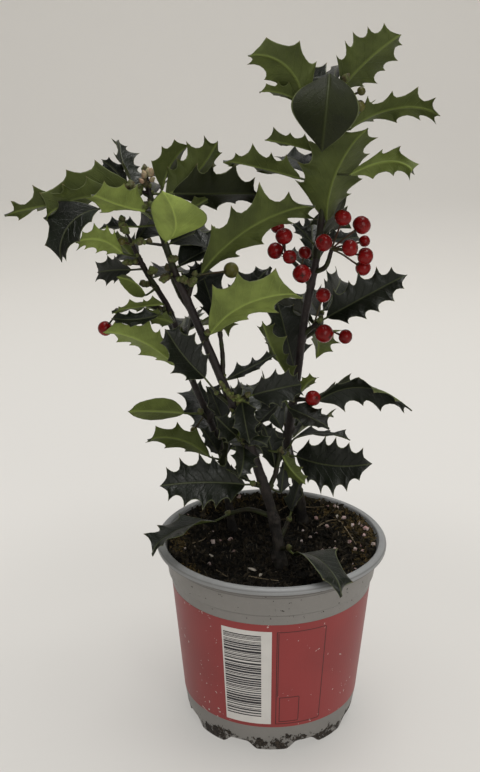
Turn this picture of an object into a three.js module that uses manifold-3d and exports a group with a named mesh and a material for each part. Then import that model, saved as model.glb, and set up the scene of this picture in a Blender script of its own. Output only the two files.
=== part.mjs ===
// A young potted holly: three woody stems, spiny leaves and red berries in a round nursery pot.
// Millimetres, +Z up. The origin is the middle of the pot's underside, on the ground it stands on.
// Headings are turns about +Z from +X; -Y is the side the plant is mostly seen from.
import * as THREE from "three";
import { mergeVertices } from "three/addons/utils/BufferGeometryUtils.js";
import Module from "manifold-3d";

const wasm = await Module();
wasm.setup();

// ---------------------------------------------------------------- driving sizes
const CLEAR = 0.3; // gap between two neighbouring solids
const GROUND = 100; // soil level, where the stems are cut flat

const POT = {
  height: 110,
  rim: 65, // outer radius of the rolled lip
  lipTop: 60.9, // inner radius of the lip
  lipDrop: 4.6, // height of the lip's outer face
  neck: 60.4, // outer radius under the lip
  ledge: 90.3, // height of the step under the neck
  belly: 57.2, // outer radius under that step
  bandLow: 16.5, // height where the straight wall ends and the foot begins
  bandLowRadius: 50.5,
  foot: 47.4, // radius the pot stands on
  wall: 1.2,
  lobes: 8, // the foot is cut into this many lobes
  notch: 4.5, // height of the notches between the lobes and of the channel inside them
  padRadius: 30, // the flat middle of the underside
  channelIn: 32,
  channelOut: 40,
  drainRadius: 36, // the circle that the drain holes lie on
  drainHole: 3.2,
  segments: 40,
};

const SOIL = {
  edge: 59, // radius that the bank is worked out for
  gap: 0.6, // kept between the soil and the pot's wall
  flat: 0.5, // the share of that radius that lies flat
  bankFront: 3, // how far the soil rises to the lip at the front and at the back
  bankBack: 11,
  dish: 1.2, // how far the middle lies below the stems' ground level
  ripple: 0.7,
  segments: 30,
};

const BLADE = {
  width: 0.46, // of the blade's length
  thickness: 0.03, // of the blade's length, at the midrib
  spine: 0.075, // how far a spine stands out, of the length
  spines: 4, // on each side
  fold: 14, // degrees that each half rises from the midrib
  wave: 0.035, // of the length, spines up and down in turn
  stalkRadius: 0.95,
  stalk: 6,
};

const BERRY_RADIUS = 4.3;
const BERRY_STALK_RADIUS = 0.65;

const SHOOT = {
  thick: 1.5, // radius where it leaves its stem
  thin: 1.1, // radius at its end
  step: 12, // length of one straight facet
  sides: 5,
  bite: 3, // mm3 that a leaf's stalk may share with the stem it grows from
};
const TOUCH = 1e-6; // mm3, the most that counts as not touching

// ---------------------------------------------------------------- the three stems
// Each stem's middle line from the ground to where its foliage begins, and its radius at the
// ground, above the root flare and at its end.
const STEMS = {
  front: {
    line: [[5, -20, GROUND], [1, -15.5, 126], [-5.5, -14.5, 149], [-14, -12, 173], [-24, -9.5, 197],
      [-36.3, -8, 227], [-45, -8, 248], [-51, -8, 262]],
    foot: 5.2, low: 3.8, end: 2.1,
  },
  right: {
    line: [[20, 36, GROUND], [17, 30, 122], [9.5, 21, 157], [10.8, 17.5, 174], [14, 14, 201],
      [16.7, 9.5, 231], [22.5, 3.5, 269]],
    foot: 3.7, low: 2.7, end: 2.0,
  },
  back: {
    line: [[-22, 25, GROUND], [-25, 21.5, 124], [-28, 19, 152], [-37.5, 16, 180], [-46, 15, 202],
      [-56, 12.5, 238], [-62, 10, 250]],
    foot: 3.1, low: 2.2, end: 1.6,
  },
};
const FLARE_HEIGHT = 14;

// A leaf: where it sits along its shoot (0 to 1), its heading and rise in degrees, the length of
// its blade, its roll about its own length, and what differs from a plain leaf.
const leaf = (along, heading, rise, length, roll, more = {}) =>
  ({ along, heading, rise, length, roll, ...more });
// A berry: where its stalk leaves the shoot, the stalk's heading, rise and length, and its radius.
const berry = (along, heading, rise, stalk, radius = BERRY_RADIUS) =>
  ({ along, heading, rise, stalk, radius });

// ---------------------------------------------------------------- the masses of foliage
// Each mass grows from one shoot. It leaves its stem at the height "at" (or goes on from the
// stem's end) and passes through "route". "fan" adds leaves by a seeded rule.
const MASSES = {
  crown_left: {
    stem: "front", route: [[-57, -6, 280], [-61, -3, 292], [-64, -1, 303], [-66, 0, 314]],
    leaves: [
      leaf(0.9, -172, -13, 60, 46, { stalk: 14, width: 0.36, bend: 14 }),
      leaf(0.9, -162, -11, 46, 60, { stalk: 8, bend: 26 }),
      leaf(0.72, -147, -38, 44, -4, { lead: [-162, -4], stalk: 20, width: 0.56, bend: 20 }),
      leaf(0.6, -133, 20, 38, 74, { width: 0.55 }),
      leaf(0.5, 160, -7, 24, -26, { stalk: 12 }),
      leaf(0.76, 117, 54, 28, 25, { lead: [160, 30], width: 0.6 }),
      leaf(0.8, 144, 38, 22, 3, { lead: [150, 5], stalk: 12, spines: 3 }),
      leaf(0.7, 61, 62, 27, -18, { width: 0.6, spines: 3 }),
      leaf(0.65, -5, 53, 41, -48, { width: 0.56 }),
      leaf(0.8, -5, 1, 45, -54, { stalk: 12 }),
      leaf(0.3, -67, 51, 40, -16, { stalk: 3, width: 0.72, spines: 3 }),
      leaf(0.46, 14, 30, 18, -52, { stalk: 16, spines: 2 }),
    ],
    fan: { seed: 11, count: 3, heading: 92, spread: 42, rise: -14, length: 44 },
  },
  sprig_long: {
    stem: "front", at: 249, route: [[-41.5, -9.5, 261.5]],
    leaves: [leaf(1, -21, 33, 69, -66, { stalk: 5, width: 0.36, spines: 5, bend: -10 })],
    berries: [berry(1, 24, 5, 21, 4.2)],
  },
  sprig_shade: {
    stem: "front", at: 240, route: [[-50, 2, 250], [-55, 2, 262]],
    leaves: [
      leaf(1, 29, 25, 24, 16, { width: 0.7, spines: 3 }),
      leaf(0.5, 37, 34, 22, 7, { stalk: 3, width: 0.7, spines: 3 }),
    ],
  },
  sprig_bright: {
    stem: "front", at: 226, route: [[-35, -11.5, 231]],
    leaves: [leaf(1, -21, 23, 53, -76, { stalk: 2, width: 0.5, bend: -16 })],
  },
  sprig_behind: {
    stem: "front", at: 205, route: [[-26, -3, 216], [-33, 3, 228]],
    leaves: [
      leaf(0.18, -18, 25, 30, 9, { lead: [-30, -35], stalk: 6, width: 0.34, spines: 3 }),
      leaf(1, 19, 50, 40, 22, { stalk: 4, width: 0.5 }),
      leaf(0.95, 120, 58, 40, 0, { stalk: 4, width: 0.5 }),
    ],
  },
  sprig_upright: {
    stem: "front", at: 190, route: [[-29.5, -11.5, 198]],
    leaves: [leaf(1, -167, 60, 37, -48, { width: 0.52, bend: 14 })],
  },
  sprig_knot: {
    stem: "front", at: 192, route: [[-15, -12, 197]],
    leaves: [leaf(1, 8, 3, 30, 18, { stalk: 3, width: 0.55, bend: 30 })],
  },
  sprig_inner: {
    stem: "front", at: 166, route: [[-17, -13, 172]],
    leaves: [
      leaf(1, -131, 44, 22, -98, { width: 0.6, spines: 3 }),
      leaf(0.9, -150, 74, 14, 38, { stalk: 4, width: 0.5, spines: 2 }),
    ],
  },
  sprig_glossy: {
    stem: "front", at: 146, route: [[-9.5, -17.5, 148.5]],
    leaves: [
      leaf(1, -168, 4, 48, -43, { stalk: 5, width: 0.5, spines: 5, bend: 12 }),
      leaf(0.6, -155, 34, 17, -37, { width: 0.4, spines: 3 }),
    ],
  },
  sprig_pale: {
    stem: "front", at: 142, route: [[1.5, -13, 153], [4, -12, 165]],
    leaves: [
      leaf(1, -41, -41, 25, -73, { stalk: 3, width: 0.55, spines: 3 }),
      leaf(0.15, 60, 80, 17, 60, { lead: [20, -30], stalk: 8, width: 0.5, spines: 3 }),
      leaf(1, 170, 12, 24, -15, { stalk: 9, width: 0.4, bend: 20, spines: 3 }),
      leaf(0.55, 124, 62, 24, 0, { stalk: 2, width: 0.7, spines: 3 }),
    ],
  },
  sprig_over_rim_left: {
    stem: "front", at: 128, route: [[-12, -12, 131], [-23, -8, 127]],
    leaves: [leaf(1, -138, -7, 48, 5, { width: 0.4, bend: 18, spines: 3 })],
  },
  sprig_over_rim_right: {
    stem: "front", at: 110, route: [[8, -24, 113.5]],
    leaves: [leaf(1, -60, -3, 46, -6, { stalk: 8, width: 0.42, spines: 3, bend: 44 })],
  },
  sprig_foot: {
    stem: "front", at: 113, route: [[9, -7, 121]],
    leaves: [leaf(1, 36, 70, 21, -6, { width: 0.6, spines: 3 })],
  },

  crown_right: {
    stem: "right", route: [[24, 2, 285], [25.2, 1, 303], [26.5, 1, 325], [28, 1, 345], [29, 1, 358]],
    leaves: [
      leaf(0.12, -22, 66, 52, -59, { stalk: 9, width: 0.52, spines: 5 }),
      leaf(0.72, -172, 40, 40, 27, { stalk: 14, width: 0.7, bend: 80 }),
      leaf(1, -103, -58, 43, 2, { lead: [-115, 30], stalk: 5, width: 0.62, bend: 62 }),
      leaf(0.61, -171, 13, 27, 25, { width: 0.5, twist: 40, spines: 3 }),
      leaf(0.93, -13, 45, 37, -62, { stalk: 9, width: 0.62 }),
      leaf(0.44, -171, 14, 41, 36, { stalk: 13 }),
      leaf(0.73, -16, 13, 45, -45, { stalk: 12, twist: -40, bend: 40 }),
      leaf(0.49, -13, 4, 37, -52, { stalk: 11, twist: -30, width: 0.52 }),
      leaf(0.1, 34, -2, 25, 37, { stalk: 4, spines: 3 }),
      leaf(0.06, 131, 29, 16, -19, { spines: 3 }),
    ],
    berries: [berry(0.8, -30, 25, 14, 2.9), berry(0.88, -30, 25, 13, 2.2)],
    fan: { seed: 5, count: 4, heading: 92, spread: 40, rise: -12, length: 42 },
  },
  berries_right: {
    stem: "right", at: 261, route: [[27, -0.5, 265], [30, 0, 274]],
    berries: [
      berry(1, -21, 72, 18, 4.4), berry(1, 7, 39, 20, 4.9), berry(1, 19, 10, 19, 3.1),
      berry(1, -34, 11, 11, 4.4), berry(1, 0, -11, 18, 4.5), berry(1, 16, -31, 21, 4.2),
      berry(1, -120, 29, 11, 4.5),
    ],
  },
  berries_left: {
    stem: "right", at: 253, route: [[13, 2.5, 264], [6, 1, 271]],
    berries: [
      berry(1, -109, 73, 11, 4.5), berry(1, 158, 17, 6, 4.4), berry(1, -74, 3, 7, 3.7),
      berry(0.5, 65, 53, 10, 3.6), berry(0.5, -88, 0, 9, 4.9), berry(1, 118, 57, 16, 3.7),
    ],
  },
  sprig_right_high: {
    stem: "right", at: 224, route: [[24, 6, 233]],
    leaves: [leaf(1, -15, 31, 45, 60, { width: 0.5, spines: 5 })],
    berries: [
      berry(0.7, -50, -12, 9, 5.0), berry(0.8, -20, -15, 18, 3.9), berry(0.75, -40, 72, 19, 4.1),
    ],
  },
  sprig_narrow: {
    stem: "right", at: 186, route: [[19, 9, 188]],
    leaves: [
      leaf(1, -15, -1, 47, 1, { stalk: 8, width: 0.3, twist: 60, bend: 20 }),
      leaf(0.3, -40, 47, 16, -41, { lead: [-60, 60], stalk: 5, width: 0.5, spines: 3, bend: 50 }),
    ],
    berries: [berry(0.6, -50, 3, 9, 4.3)],
  },
  sprig_low_middle: {
    stem: "right", at: 191, route: [[6, 4, 190]],
    leaves: [
      leaf(0.9, -141, -29, 22, -9, { stalk: 5, width: 0.6, spines: 3 }),
      leaf(0.9, -32, 3, 22, 20, { stalk: 5, width: 0.6, spines: 3 }),
    ],
  },
  sprig_grey: {
    stem: "right", at: 194, route: [[13.5, 22, 199]],
    leaves: [leaf(1, 145, 72, 38, -19, { stalk: 4, width: 0.72 })],
  },
  sprig_twisted: {
    stem: "right", at: 192, route: [[12.5, 8, 197]],
    leaves: [leaf(1, -163, 63, 44, 9, { stalk: 3, width: 0.3, twist: 70, bend: -30 })],
  },
  sprig_right_low: {
    stem: "right", at: 150, route: [[9, 8, 158], [8, 1, 158]],
    leaves: [
      leaf(1, -28, 5, 43, 56, { stalk: 6, width: 0.58, spines: 5 }),
      leaf(0.6, -12, 2, 31, -3, { lead: [-40, 62], stalk: 10, width: 0.36, bend: 50, spines: 3 }),
    ],
  },

  crown_back: {
    stem: "back", route: [[-67, 8, 259], [-71, 6, 268], [-74, 5, 275]],
    leaves: [
      leaf(0.75, -152, 21, 33, 59, { stalk: 5 }),
      leaf(0.6, 163, 41, 18, 69, { width: 0.6, spines: 2 }),
      leaf(0.5, 137, -9, 27, -69, { stalk: 10, width: 0.6, spines: 3 }),
      leaf(0.05, -149, 43, 22, -65, { lead: [-149, -25], stalk: 8, width: 0.55, spines: 3 }),
    ],
    berries: [berry(1, -140, 25, 8, 2.3)],
    fan: { seed: 23, count: 2, heading: 85, spread: 40, rise: -5, length: 40 },
  },
  sprig_left_long: {
    stem: "back", at: 236, route: [[-70, 7, 243], [-82, 4, 240]],
    leaves: [
      leaf(0.15, -160, -8, 29, 44, { lead: [-90, 40], stalk: 8, width: 0.4 }),
      leaf(0.22, -168, -9, 28, -8, { lead: [-90, 5], stalk: 10, spines: 3 }),
      leaf(0.02, -174, 21, 20, 51, { lead: [-80, -5], stalk: 10, spines: 3 }),
    ],
    berries: [berry(1, 175, -40, 9, 3.9)],
  },
  sprig_left_mid: {
    stem: "back", at: 197, route: [[-44, 3, 206]],
    leaves: [leaf(1, -161, 23, 41, 64, { width: 0.5, spines: 5, bend: 20 })],
  },
  sprig_smooth: {
    stem: "back", at: 172, route: [[-39, 12.5, 178.5]],
    leaves: [leaf(1, -170, 3, 34, 73, { stalk: 8, width: 0.42, smooth: true })],
    berries: [berry(0.7, 170, -55, 11, 2.1)],
  },
  sprig_dark: {
    stem: "back", at: 160, route: [[-25, 9, 168]],
    leaves: [leaf(1, 154, 65, 23, -12, { width: 0.7, spines: 3 })],
  },
  sprig_left_low: {
    stem: "back", at: 145, route: [[-27, 8, 152]],
    leaves: [
      leaf(1, -158, 21, 40, 65),
      leaf(0.8, -157, 59, 20, -60, { width: 0.5, spines: 3 }),
      leaf(0.7, -48, 80, 24, 13, { lead: [-85, -20], stalk: 8, width: 0.4, spines: 3 }),
    ],
  },

  back_low_left: {
    stem: "back", at: 150, route: [[-24, 36, 158]],
    fan: { seed: 3, count: 4, heading: 85, spread: 55, rise: 2, length: 44 },
  },
  back_low_right: {
    stem: "right", at: 156, route: [[9, 36, 162]],
    fan: { seed: 7, count: 4, heading: 85, spread: 60, rise: 4, length: 46 },
  },
  back_mid_left: {
    stem: "back", at: 214, route: [[-52, 28, 222]],
    fan: { seed: 13, count: 3, heading: 95, spread: 50, rise: 2, length: 42 },
  },
  back_mid_right: {
    stem: "right", at: 222, route: [[26, 19, 227], [28, 33, 230]],
    fan: { seed: 17, count: 3, heading: 88, spread: 40, rise: -12, length: 42 },
  },
  back_high_right: {
    stem: "right", at: 254, route: [[22, 22, 262]],
    fan: { seed: 29, count: 3, heading: 92, spread: 32, rise: 4, length: 38 },
  },
};

// ---------------------------------------------------------------- colours
const material = (color, roughness) =>
  new THREE.MeshStandardMaterial({ color, roughness, metalness: 0 });
const FINISH = {
  pot: material(0x8d8f8e, 0.6),
  soil: material(0x231b15, 0.95),
  stem: material(0x3b2a26, 0.8),
  foliage: material(0x2f3b1d, 0.45),
};

// ---------------------------------------------------------------- small helpers
const rad = THREE.MathUtils.degToRad;
const vec = (p) => new THREE.Vector3(...p);
const sum = (...pairs) => pairs.reduce((v, [a, k]) => v.addScaledVector(a, k), new THREE.Vector3());

// A repeatable stream of numbers from 0 to 1.
function stream(seed) {
  let state = seed * 7919 + 13;
  return () => {
    state = (state * 16807) % 2147483647;
    return state / 2147483647;
  };
}

// Points and triangles as a solid.
function solid(points, triangles) {
  return new wasm.Manifold(new wasm.Mesh({
    numProp: 3,
    vertProperties: new Float32Array(points.flatMap((p) => [p.x, p.y, p.z])),
    triVerts: new Uint32Array(triangles.flat()),
  }));
}

// A three.js geometry as a solid.
function solidOf(geometry) {
  const bare = geometry.clone();
  bare.deleteAttribute("normal");
  bare.deleteAttribute("uv");
  const merged = mergeVertices(bare, 1e-4);
  return new wasm.Manifold(new wasm.Mesh({
    numProp: 3,
    vertProperties: new Float32Array(merged.attributes.position.array),
    triVerts: new Uint32Array(merged.index.array),
  }));
}

// A solid as a three.js geometry.
function geometryOf(body) {
  const { vertProperties, triVerts } = body.getMesh();
  const geometry = new THREE.BufferGeometry();
  geometry.setAttribute("position", new THREE.BufferAttribute(new Float32Array(vertProperties), 3));
  geometry.setIndex(new THREE.BufferAttribute(new Uint32Array(triVerts), 1));
  geometry.computeVertexNormals();
  return geometry;
}

// The biggest single piece: sealed hollows are filled and loose scraps dropped.
function wholePiece(body) {
  return body.decompose().reduce((a, b) => (b.volume() > a.volume() ? b : a));
}

// A closed round limb along a curve. The first ring can be laid level, for a flat cut.
function limb(curve, radiusAt, { steps, sides, level = false }) {
  const points = [];
  const triangles = [];
  let side = new THREE.Vector3(1, 0, 0);
  for (let i = 0; i <= steps; i += 1) {
    const at = i / steps;
    const along = level && i === 0 ? new THREE.Vector3(0, 0, 1) : curve.getTangentAt(at);
    side = side.clone().addScaledVector(along, -side.dot(along)).normalize();
    const across = along.clone().cross(side);
    for (let k = 0; k < sides; k += 1) {
      const turn = (2 * Math.PI * k) / sides;
      points.push(sum([curve.getPointAt(at), 1], [side, radiusAt(at) * Math.cos(turn)],
        [across, radiusAt(at) * Math.sin(turn)]));
    }
  }
  for (let i = 0; i < steps; i += 1) {
    for (let k = 0; k < sides; k += 1) {
      const [a, b] = [i * sides + k, i * sides + ((k + 1) % sides)];
      triangles.push([a, b, b + sides], [a, b + sides, a + sides]);
    }
  }
  const last = steps * sides;
  for (let k = 1; k < sides - 1; k += 1) {
    triangles.push([0, k + 1, k], [last, last + k, last + k + 1]);
  }
  return solid(points, triangles);
}

// ---------------------------------------------------------------- pot and soil
// The height of the underside where the foot's notches are, and 0 under its lobes.
function notchHeight(step) {
  const perLobe = POT.segments / POT.lobes;
  const offset = (step + perLobe / 2) % perLobe;
  return Math.min(offset, perLobe - offset) < 1 ? POT.notch : 0;
}

// The pot's section as [radius, height], from the middle of the underside out, up and back in.
function potSection(notch) {
  const { wall } = POT;
  const slope = (POT.belly - POT.bandLowRadius) / (POT.ledge - POT.bandLow);
  const floor = (height) => height + wall;
  const innerFoot = POT.foot - wall - 0.6;
  return [
    [0, 0], [POT.padRadius, 0], [POT.channelIn, POT.notch], [POT.channelOut, POT.notch],
    [POT.channelOut + 2, notch], [POT.foot, notch], [POT.foot + 1.6, 7],
    [POT.bandLowRadius, POT.bandLow], [POT.belly, POT.ledge], [POT.belly + 1.4, POT.ledge + 0.8],
    [POT.neck, POT.height - POT.lipDrop - 1], [POT.rim - 1.2, POT.height - POT.lipDrop],
    [POT.rim, POT.height - POT.lipDrop + 1.2], [POT.rim, POT.height - 1.6],
    [POT.rim - 1.4, POT.height], [POT.lipTop, POT.height],
    [POT.neck - wall, POT.height - POT.lipDrop], [POT.belly + 0.2, POT.ledge + 1],
    [POT.belly - wall, POT.ledge - 1.5], [POT.bandLowRadius - wall, POT.bandLow],
    [POT.bandLowRadius - wall - slope * 8, 9.5], [innerFoot, floor(POT.notch) + 0.6],
    [POT.channelIn - 1, floor(POT.notch) + 0.6], [POT.padRadius - 2, floor(0)], [0, floor(0)],
  ];
}

function pot() {
  const { segments } = POT;
  const rows = Array.from({ length: segments }, (_, step) => potSection(notchHeight(step)));
  const last = rows[0].length - 1;
  const points = [new THREE.Vector3(0, 0, rows[0][0][1]), new THREE.Vector3(0, 0, rows[0][last][1])];
  const triangles = [];
  const ring = (row, step) => 2 + (row - 1) * segments + (step % segments);
  for (let row = 1; row < last; row += 1) {
    rows.forEach((section, step) => {
      const turn = (2 * Math.PI * step) / segments;
      const [radius, height] = section[row];
      points.push(new THREE.Vector3(radius * Math.cos(turn), radius * Math.sin(turn), height));
    });
  }
  for (let step = 0; step < segments; step += 1) {
    triangles.push([0, ring(1, step + 1), ring(1, step)]);
    triangles.push([1, ring(last - 1, step), ring(last - 1, step + 1)]);
    for (let row = 1; row < last - 1; row += 1) {
      const [a, b] = [ring(row, step), ring(row, step + 1)];
      const [c, d] = [ring(row + 1, step), ring(row + 1, step + 1)];
      triangles.push([a, b, d], [a, d, c]);
    }
  }
  let body = solid(points, triangles);
  for (let lobe = 0; lobe < POT.lobes; lobe += 1) {
    const turn = (2 * Math.PI * (lobe + 0.5)) / POT.lobes;
    const hole = new THREE.CylinderGeometry(POT.drainHole, POT.drainHole, 12, 8).rotateX(Math.PI / 2)
      .translate(POT.drainRadius * Math.cos(turn), POT.drainRadius * Math.sin(turn), POT.notch);
    body = body.subtract(solidOf(hole));
  }
  return geometryOf(body);
}

// The radius inside the pot's wall at a height above the ledge.
const innerRadius = (height) => THREE.MathUtils.mapLinear(height, POT.ledge + 1,
  POT.height - POT.lipDrop, POT.belly + 0.2, POT.neck - POT.wall);

// The soil's height above the ground level of the stems: banked up to the lip, most at the back.
function soilRise(x, y) {
  const out = Math.hypot(x, y) / SOIL.edge;
  const bank = Math.max(0, out - SOIL.flat) / (1 - SOIL.flat);
  const back = 0.5 + (0.5 * y) / SOIL.edge;
  const ripple = SOIL.ripple * Math.sin(x / 7) * Math.cos(y / 9);
  return bank ** 1.5 * THREE.MathUtils.lerp(SOIL.bankFront, SOIL.bankBack, back) + ripple - SOIL.dish;
}

function soil() {
  const { segments } = SOIL;
  const wallAt = (height) => THREE.MathUtils.mapLinear(height, POT.bandLow, POT.ledge - 1.5,
    POT.bandLowRadius - POT.wall, POT.belly - POT.wall);
  const top = GROUND - CLEAR;
  const floor = POT.notch + POT.wall + 1.2;
  const under = [[POT.padRadius - 3, POT.wall + CLEAR], [POT.channelIn - 2, floor], [POT.foot - 4, floor],
    [wallAt(POT.bandLow) - SOIL.gap, POT.bandLow], [wallAt(POT.ledge - 1.5) - SOIL.gap, POT.ledge - 1.5],
    [innerRadius(POT.ledge + 1) - SOIL.gap, POT.ledge + 2]];
  const surface = [50, 40, 28, 14];
  const points = [new THREE.Vector3(0, 0, under[0][1])];
  const triangles = [];
  const place = (radiusAt, heightAt) => {
    for (let k = 0; k < segments; k += 1) {
      const turn = (2 * Math.PI * k) / segments;
      const [x, y] = [Math.cos(turn), Math.sin(turn)];
      const radius = radiusAt(x, y);
      points.push(new THREE.Vector3(radius * x, radius * y, heightAt(radius * x, radius * y)));
    }
  };
  under.forEach(([radius, height]) => place(() => radius, () => height));
  place((x, y) => innerRadius(top + soilRise(SOIL.edge * x, SOIL.edge * y)) - SOIL.gap,
    (x, y) => top + soilRise(x, y));
  surface.forEach((radius) => place(() => radius, (x, y) => top + soilRise(x, y)));
  points.push(new THREE.Vector3(0, 0, top + soilRise(0, 0)));
  const rings = under.length + 1 + surface.length;
  for (let k = 0; k < segments; k += 1) {
    const next = (k + 1) % segments;
    triangles.push([0, 1 + next, 1 + k]);
    for (let row = 0; row < rings - 1; row += 1) {
      const [a, b] = [1 + row * segments + k, 1 + row * segments + next];
      triangles.push([a, b, b + segments], [a, b + segments, a + segments]);
    }
    const rim = 1 + (rings - 1) * segments;
    triangles.push([rim + k, rim + next, points.length - 1]);
  }
  let body = solid(points, triangles);
  for (const { line: [[x, y]], foot } of Object.values(STEMS)) {
    const seat = new THREE.CylinderGeometry(foot + 1.5, foot + 3, 9, 12).rotateX(Math.PI / 2)
      .translate(x, y, top - 4.5);
    const above = new THREE.CylinderGeometry(foot + 1.5, foot + 1.5, 20, 12).rotateX(Math.PI / 2)
      .translate(x, y, top + 10);
    body = body.add(solidOf(seat)).subtract(solidOf(above));
  }
  return geometryOf(wholePiece(body));
}

// ---------------------------------------------------------------- stems
const curveOf = (line) => new THREE.CatmullRomCurve3(line.map(vec), false, "centripetal");

// A stem's solid, swelled by "extra" to keep foliage clear of it.
function stemSolid({ line, foot, low, end }, extra = 0) {
  const curve = curveOf(line);
  const flare = FLARE_HEIGHT / curve.getLength();
  const radiusAt = (at) => extra + (at < flare
    ? THREE.MathUtils.lerp(low, foot, (1 - at / flare) ** 2)
    : THREE.MathUtils.mapLinear(at, flare, 1, low, end));
  return limb(curve, radiusAt, { steps: 18, sides: 9, level: true });
}

// The place on a stem's middle line at a height.
function stemPoint({ line }, height) {
  const curve = curveOf(line);
  let [low, high] = [0, 1];
  for (let i = 0; i < 24; i += 1) {
    const middle = (low + high) / 2;
    if (curve.getPointAt(middle).z < height) low = middle;
    else high = middle;
  }
  return curve.getPointAt(low);
}

// ---------------------------------------------------------------- one leaf
// Along, to the left and out of the upper side of a blade.
function bladeAxes({ heading, rise, roll }) {
  const [h, r, turn] = [rad(heading), rad(rise), rad(roll)];
  const along = new THREE.Vector3(Math.cos(r) * Math.cos(h), Math.cos(r) * Math.sin(h), Math.sin(r));
  const level = new THREE.Vector3(-Math.sin(h), Math.cos(h), 0);
  const side = level.clone().applyAxisAngle(along, turn);
  return { along, side, up: along.clone().cross(side) };
}

// A point of the blade: "at" runs from stalk to tip, "out" is mm from the midrib (left is +),
// "lift" mm out of the upper side. The midrib is an arc over the straight line to the tip.
function bladePoint(base, spec, axes, at, out, lift) {
  const bend = rad(spec.bend ?? 8);
  const angle = bend * (at - 0.5);
  const scale = spec.length / (2 * Math.sin(bend / 2));
  const middle = sum([base, 1], [axes.along, scale * (Math.sin(bend / 2) + Math.sin(angle))],
    [axes.up, scale * (Math.cos(angle) - Math.cos(bend / 2))]);
  const tangent = sum([axes.along, Math.cos(angle)], [axes.up, -Math.sin(angle)]);
  const twist = rad(spec.twist ?? 0) * (at - 0.5);
  const side = axes.side.clone().applyAxisAngle(tangent, twist);
  const normal = tangent.clone().cross(side);
  const fold = rad(BLADE.fold);
  return sum([middle, 1], [side, out * Math.cos(fold)], [normal, Math.abs(out) * Math.sin(fold) + lift]);
}

// Half of the blade's width at a place, without its spines.
const halfWidth = (spec, at) =>
  (spec.length * (spec.width ?? BLADE.width) * Math.sin(Math.PI * at ** 0.9) ** 0.75) / 2;

// The margin of one half from stalk to tip: a hollow, then a spine and a hollow in turn.
function margin(spec) {
  const count = spec.spines ?? BLADE.spines;
  const step = 0.86 / count;
  const rows = [{ at: 0.07, out: halfWidth(spec, 0.07), lift: 0 }];
  for (let k = 0; k < count; k += 1) {
    const at = 0.07 + step * (k + 0.7);
    const next = Math.min(0.07 + step * (k + 1.2), 0.95);
    const spine = spec.smooth ? 0 : spec.length * BLADE.spine;
    const wave = spec.smooth ? 0 : spec.length * BLADE.wave * (k % 2 ? -1 : 1);
    rows.push({ at, out: halfWidth(spec, at) + spine, lift: wave });
    rows.push({ at: next, out: halfWidth(spec, next) * (spec.smooth ? 1 : 0.88), lift: 0 });
  }
  return rows;
}

// The way that a leaf's stalk points: the blade's own way, or its "lead" as [heading, rise].
function leadOf(spec) {
  const [heading, rise] = spec.lead ?? [spec.heading, spec.rise];
  return bladeAxes({ heading, rise, roll: 0 }).along;
}

// A leaf, from a point of its shoot: a four-sided stalk that opens into a blade of two halves,
// thick at the midrib and thinning out to the margin. "fat" swells it, to test for room.
function leafSolid(from, spec, fat = 0) {
  const axes = bladeAxes(spec);
  const lead = leadOf(spec);
  const base = sum([from, 1], [lead, spec.stalk ?? BLADE.stalk]);
  const across = axes.side.clone().addScaledVector(lead, -axes.side.dot(lead)).normalize();
  const over = lead.clone().cross(across);
  const place = (at, out, lift) => bladePoint(base, spec, axes, at, out, lift);
  const thick = BLADE.stalkRadius + fat;
  const diamond = [[1, 0], [0, 1], [-1, 0], [0, -1]];
  const points = [
    ...diamond.map(([out, lift]) => sum([from, 1], [across, out * thick], [over, lift * thick])),
    ...diamond.map(([out, lift]) => place(0, out * thick, lift * thick)),
    place(1, 0, 0),
  ];
  const triangles = [[0, 2, 1], [0, 3, 2]];
  diamond.forEach((_, k) => {
    const next = (k + 1) % 4;
    triangles.push([k, 4 + next, 4 + k], [k, next, 4 + next]);
  });
  const tip = 8;
  const rows = margin(spec);
  const spines = rows.filter((_, i) => i % 2);
  const half = (spec.length * BLADE.thickness) / 2 + fat;
  const ribs = [1, -1].map((up) => spines.map(({ at }) => points.push(place(at, 0, up * half)) - 1));
  for (const left of [1, -1]) {
    const edge = rows.map(({ at, out, lift }) => points.push(place(at, left * (out + fat), lift)) - 1);
    const corner = left > 0 ? 4 : 6;
    ribs.forEach((rib, under) => {
      const ridge = under ? 7 : 5;
      const sheet = [[ridge, rib[0], edge[0]], [ridge, edge[0], corner]];
      rib.forEach((r, k) => {
        sheet.push([edge[2 * k], r, edge[2 * k + 1]], [edge[2 * k + 1], r, edge[2 * k + 2]]);
        sheet.push([edge[2 * k + 2], r, rib[k + 1] ?? tip]);
      });
      const turned = (left < 0) !== (under === 1);
      triangles.push(...sheet.map(([a, b, c]) => (turned ? [a, c, b] : [a, b, c])));
    });
  }
  return solid(points, triangles);
}

// ---------------------------------------------------------------- one mass
// The leaves that a seeded rule adds, turned by the golden angle along the shoot.
function fanLeaves({ seed, count, heading, spread, rise, length }) {
  const next = stream(seed);
  return Array.from({ length: count }, (_, k) => {
    const swing = count > 1 ? (2 * ((k * 0.618 + 0.2) % 1) - 1) * spread : 0;
    return leaf(0.45 + (0.55 * k) / Math.max(1, count - 1), heading + swing, rise + 30 * (next() - 0.4),
      length * (0.85 + 0.3 * next()), 40 * (next() - 0.5), { bend: 10 + 20 * next(), width: 0.48, spines: 3 });
  });
}

// A berry on its stalk. "fat" swells it, to test for room.
function berrySolid(from, { heading, rise, stalk, radius }, fat = 0) {
  const { along } = bladeAxes({ heading, rise, roll: 0 });
  const centre = sum([from, 1], [along, stalk]);
  const line = new THREE.LineCurve3(from, centre);
  const ball = new THREE.SphereGeometry(radius + fat, 6, 4).translate(...centre.toArray());
  return limb(line, () => BERRY_STALK_RADIUS + fat, { steps: 1, sides: 3 }).add(solidOf(ball));
}

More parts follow.
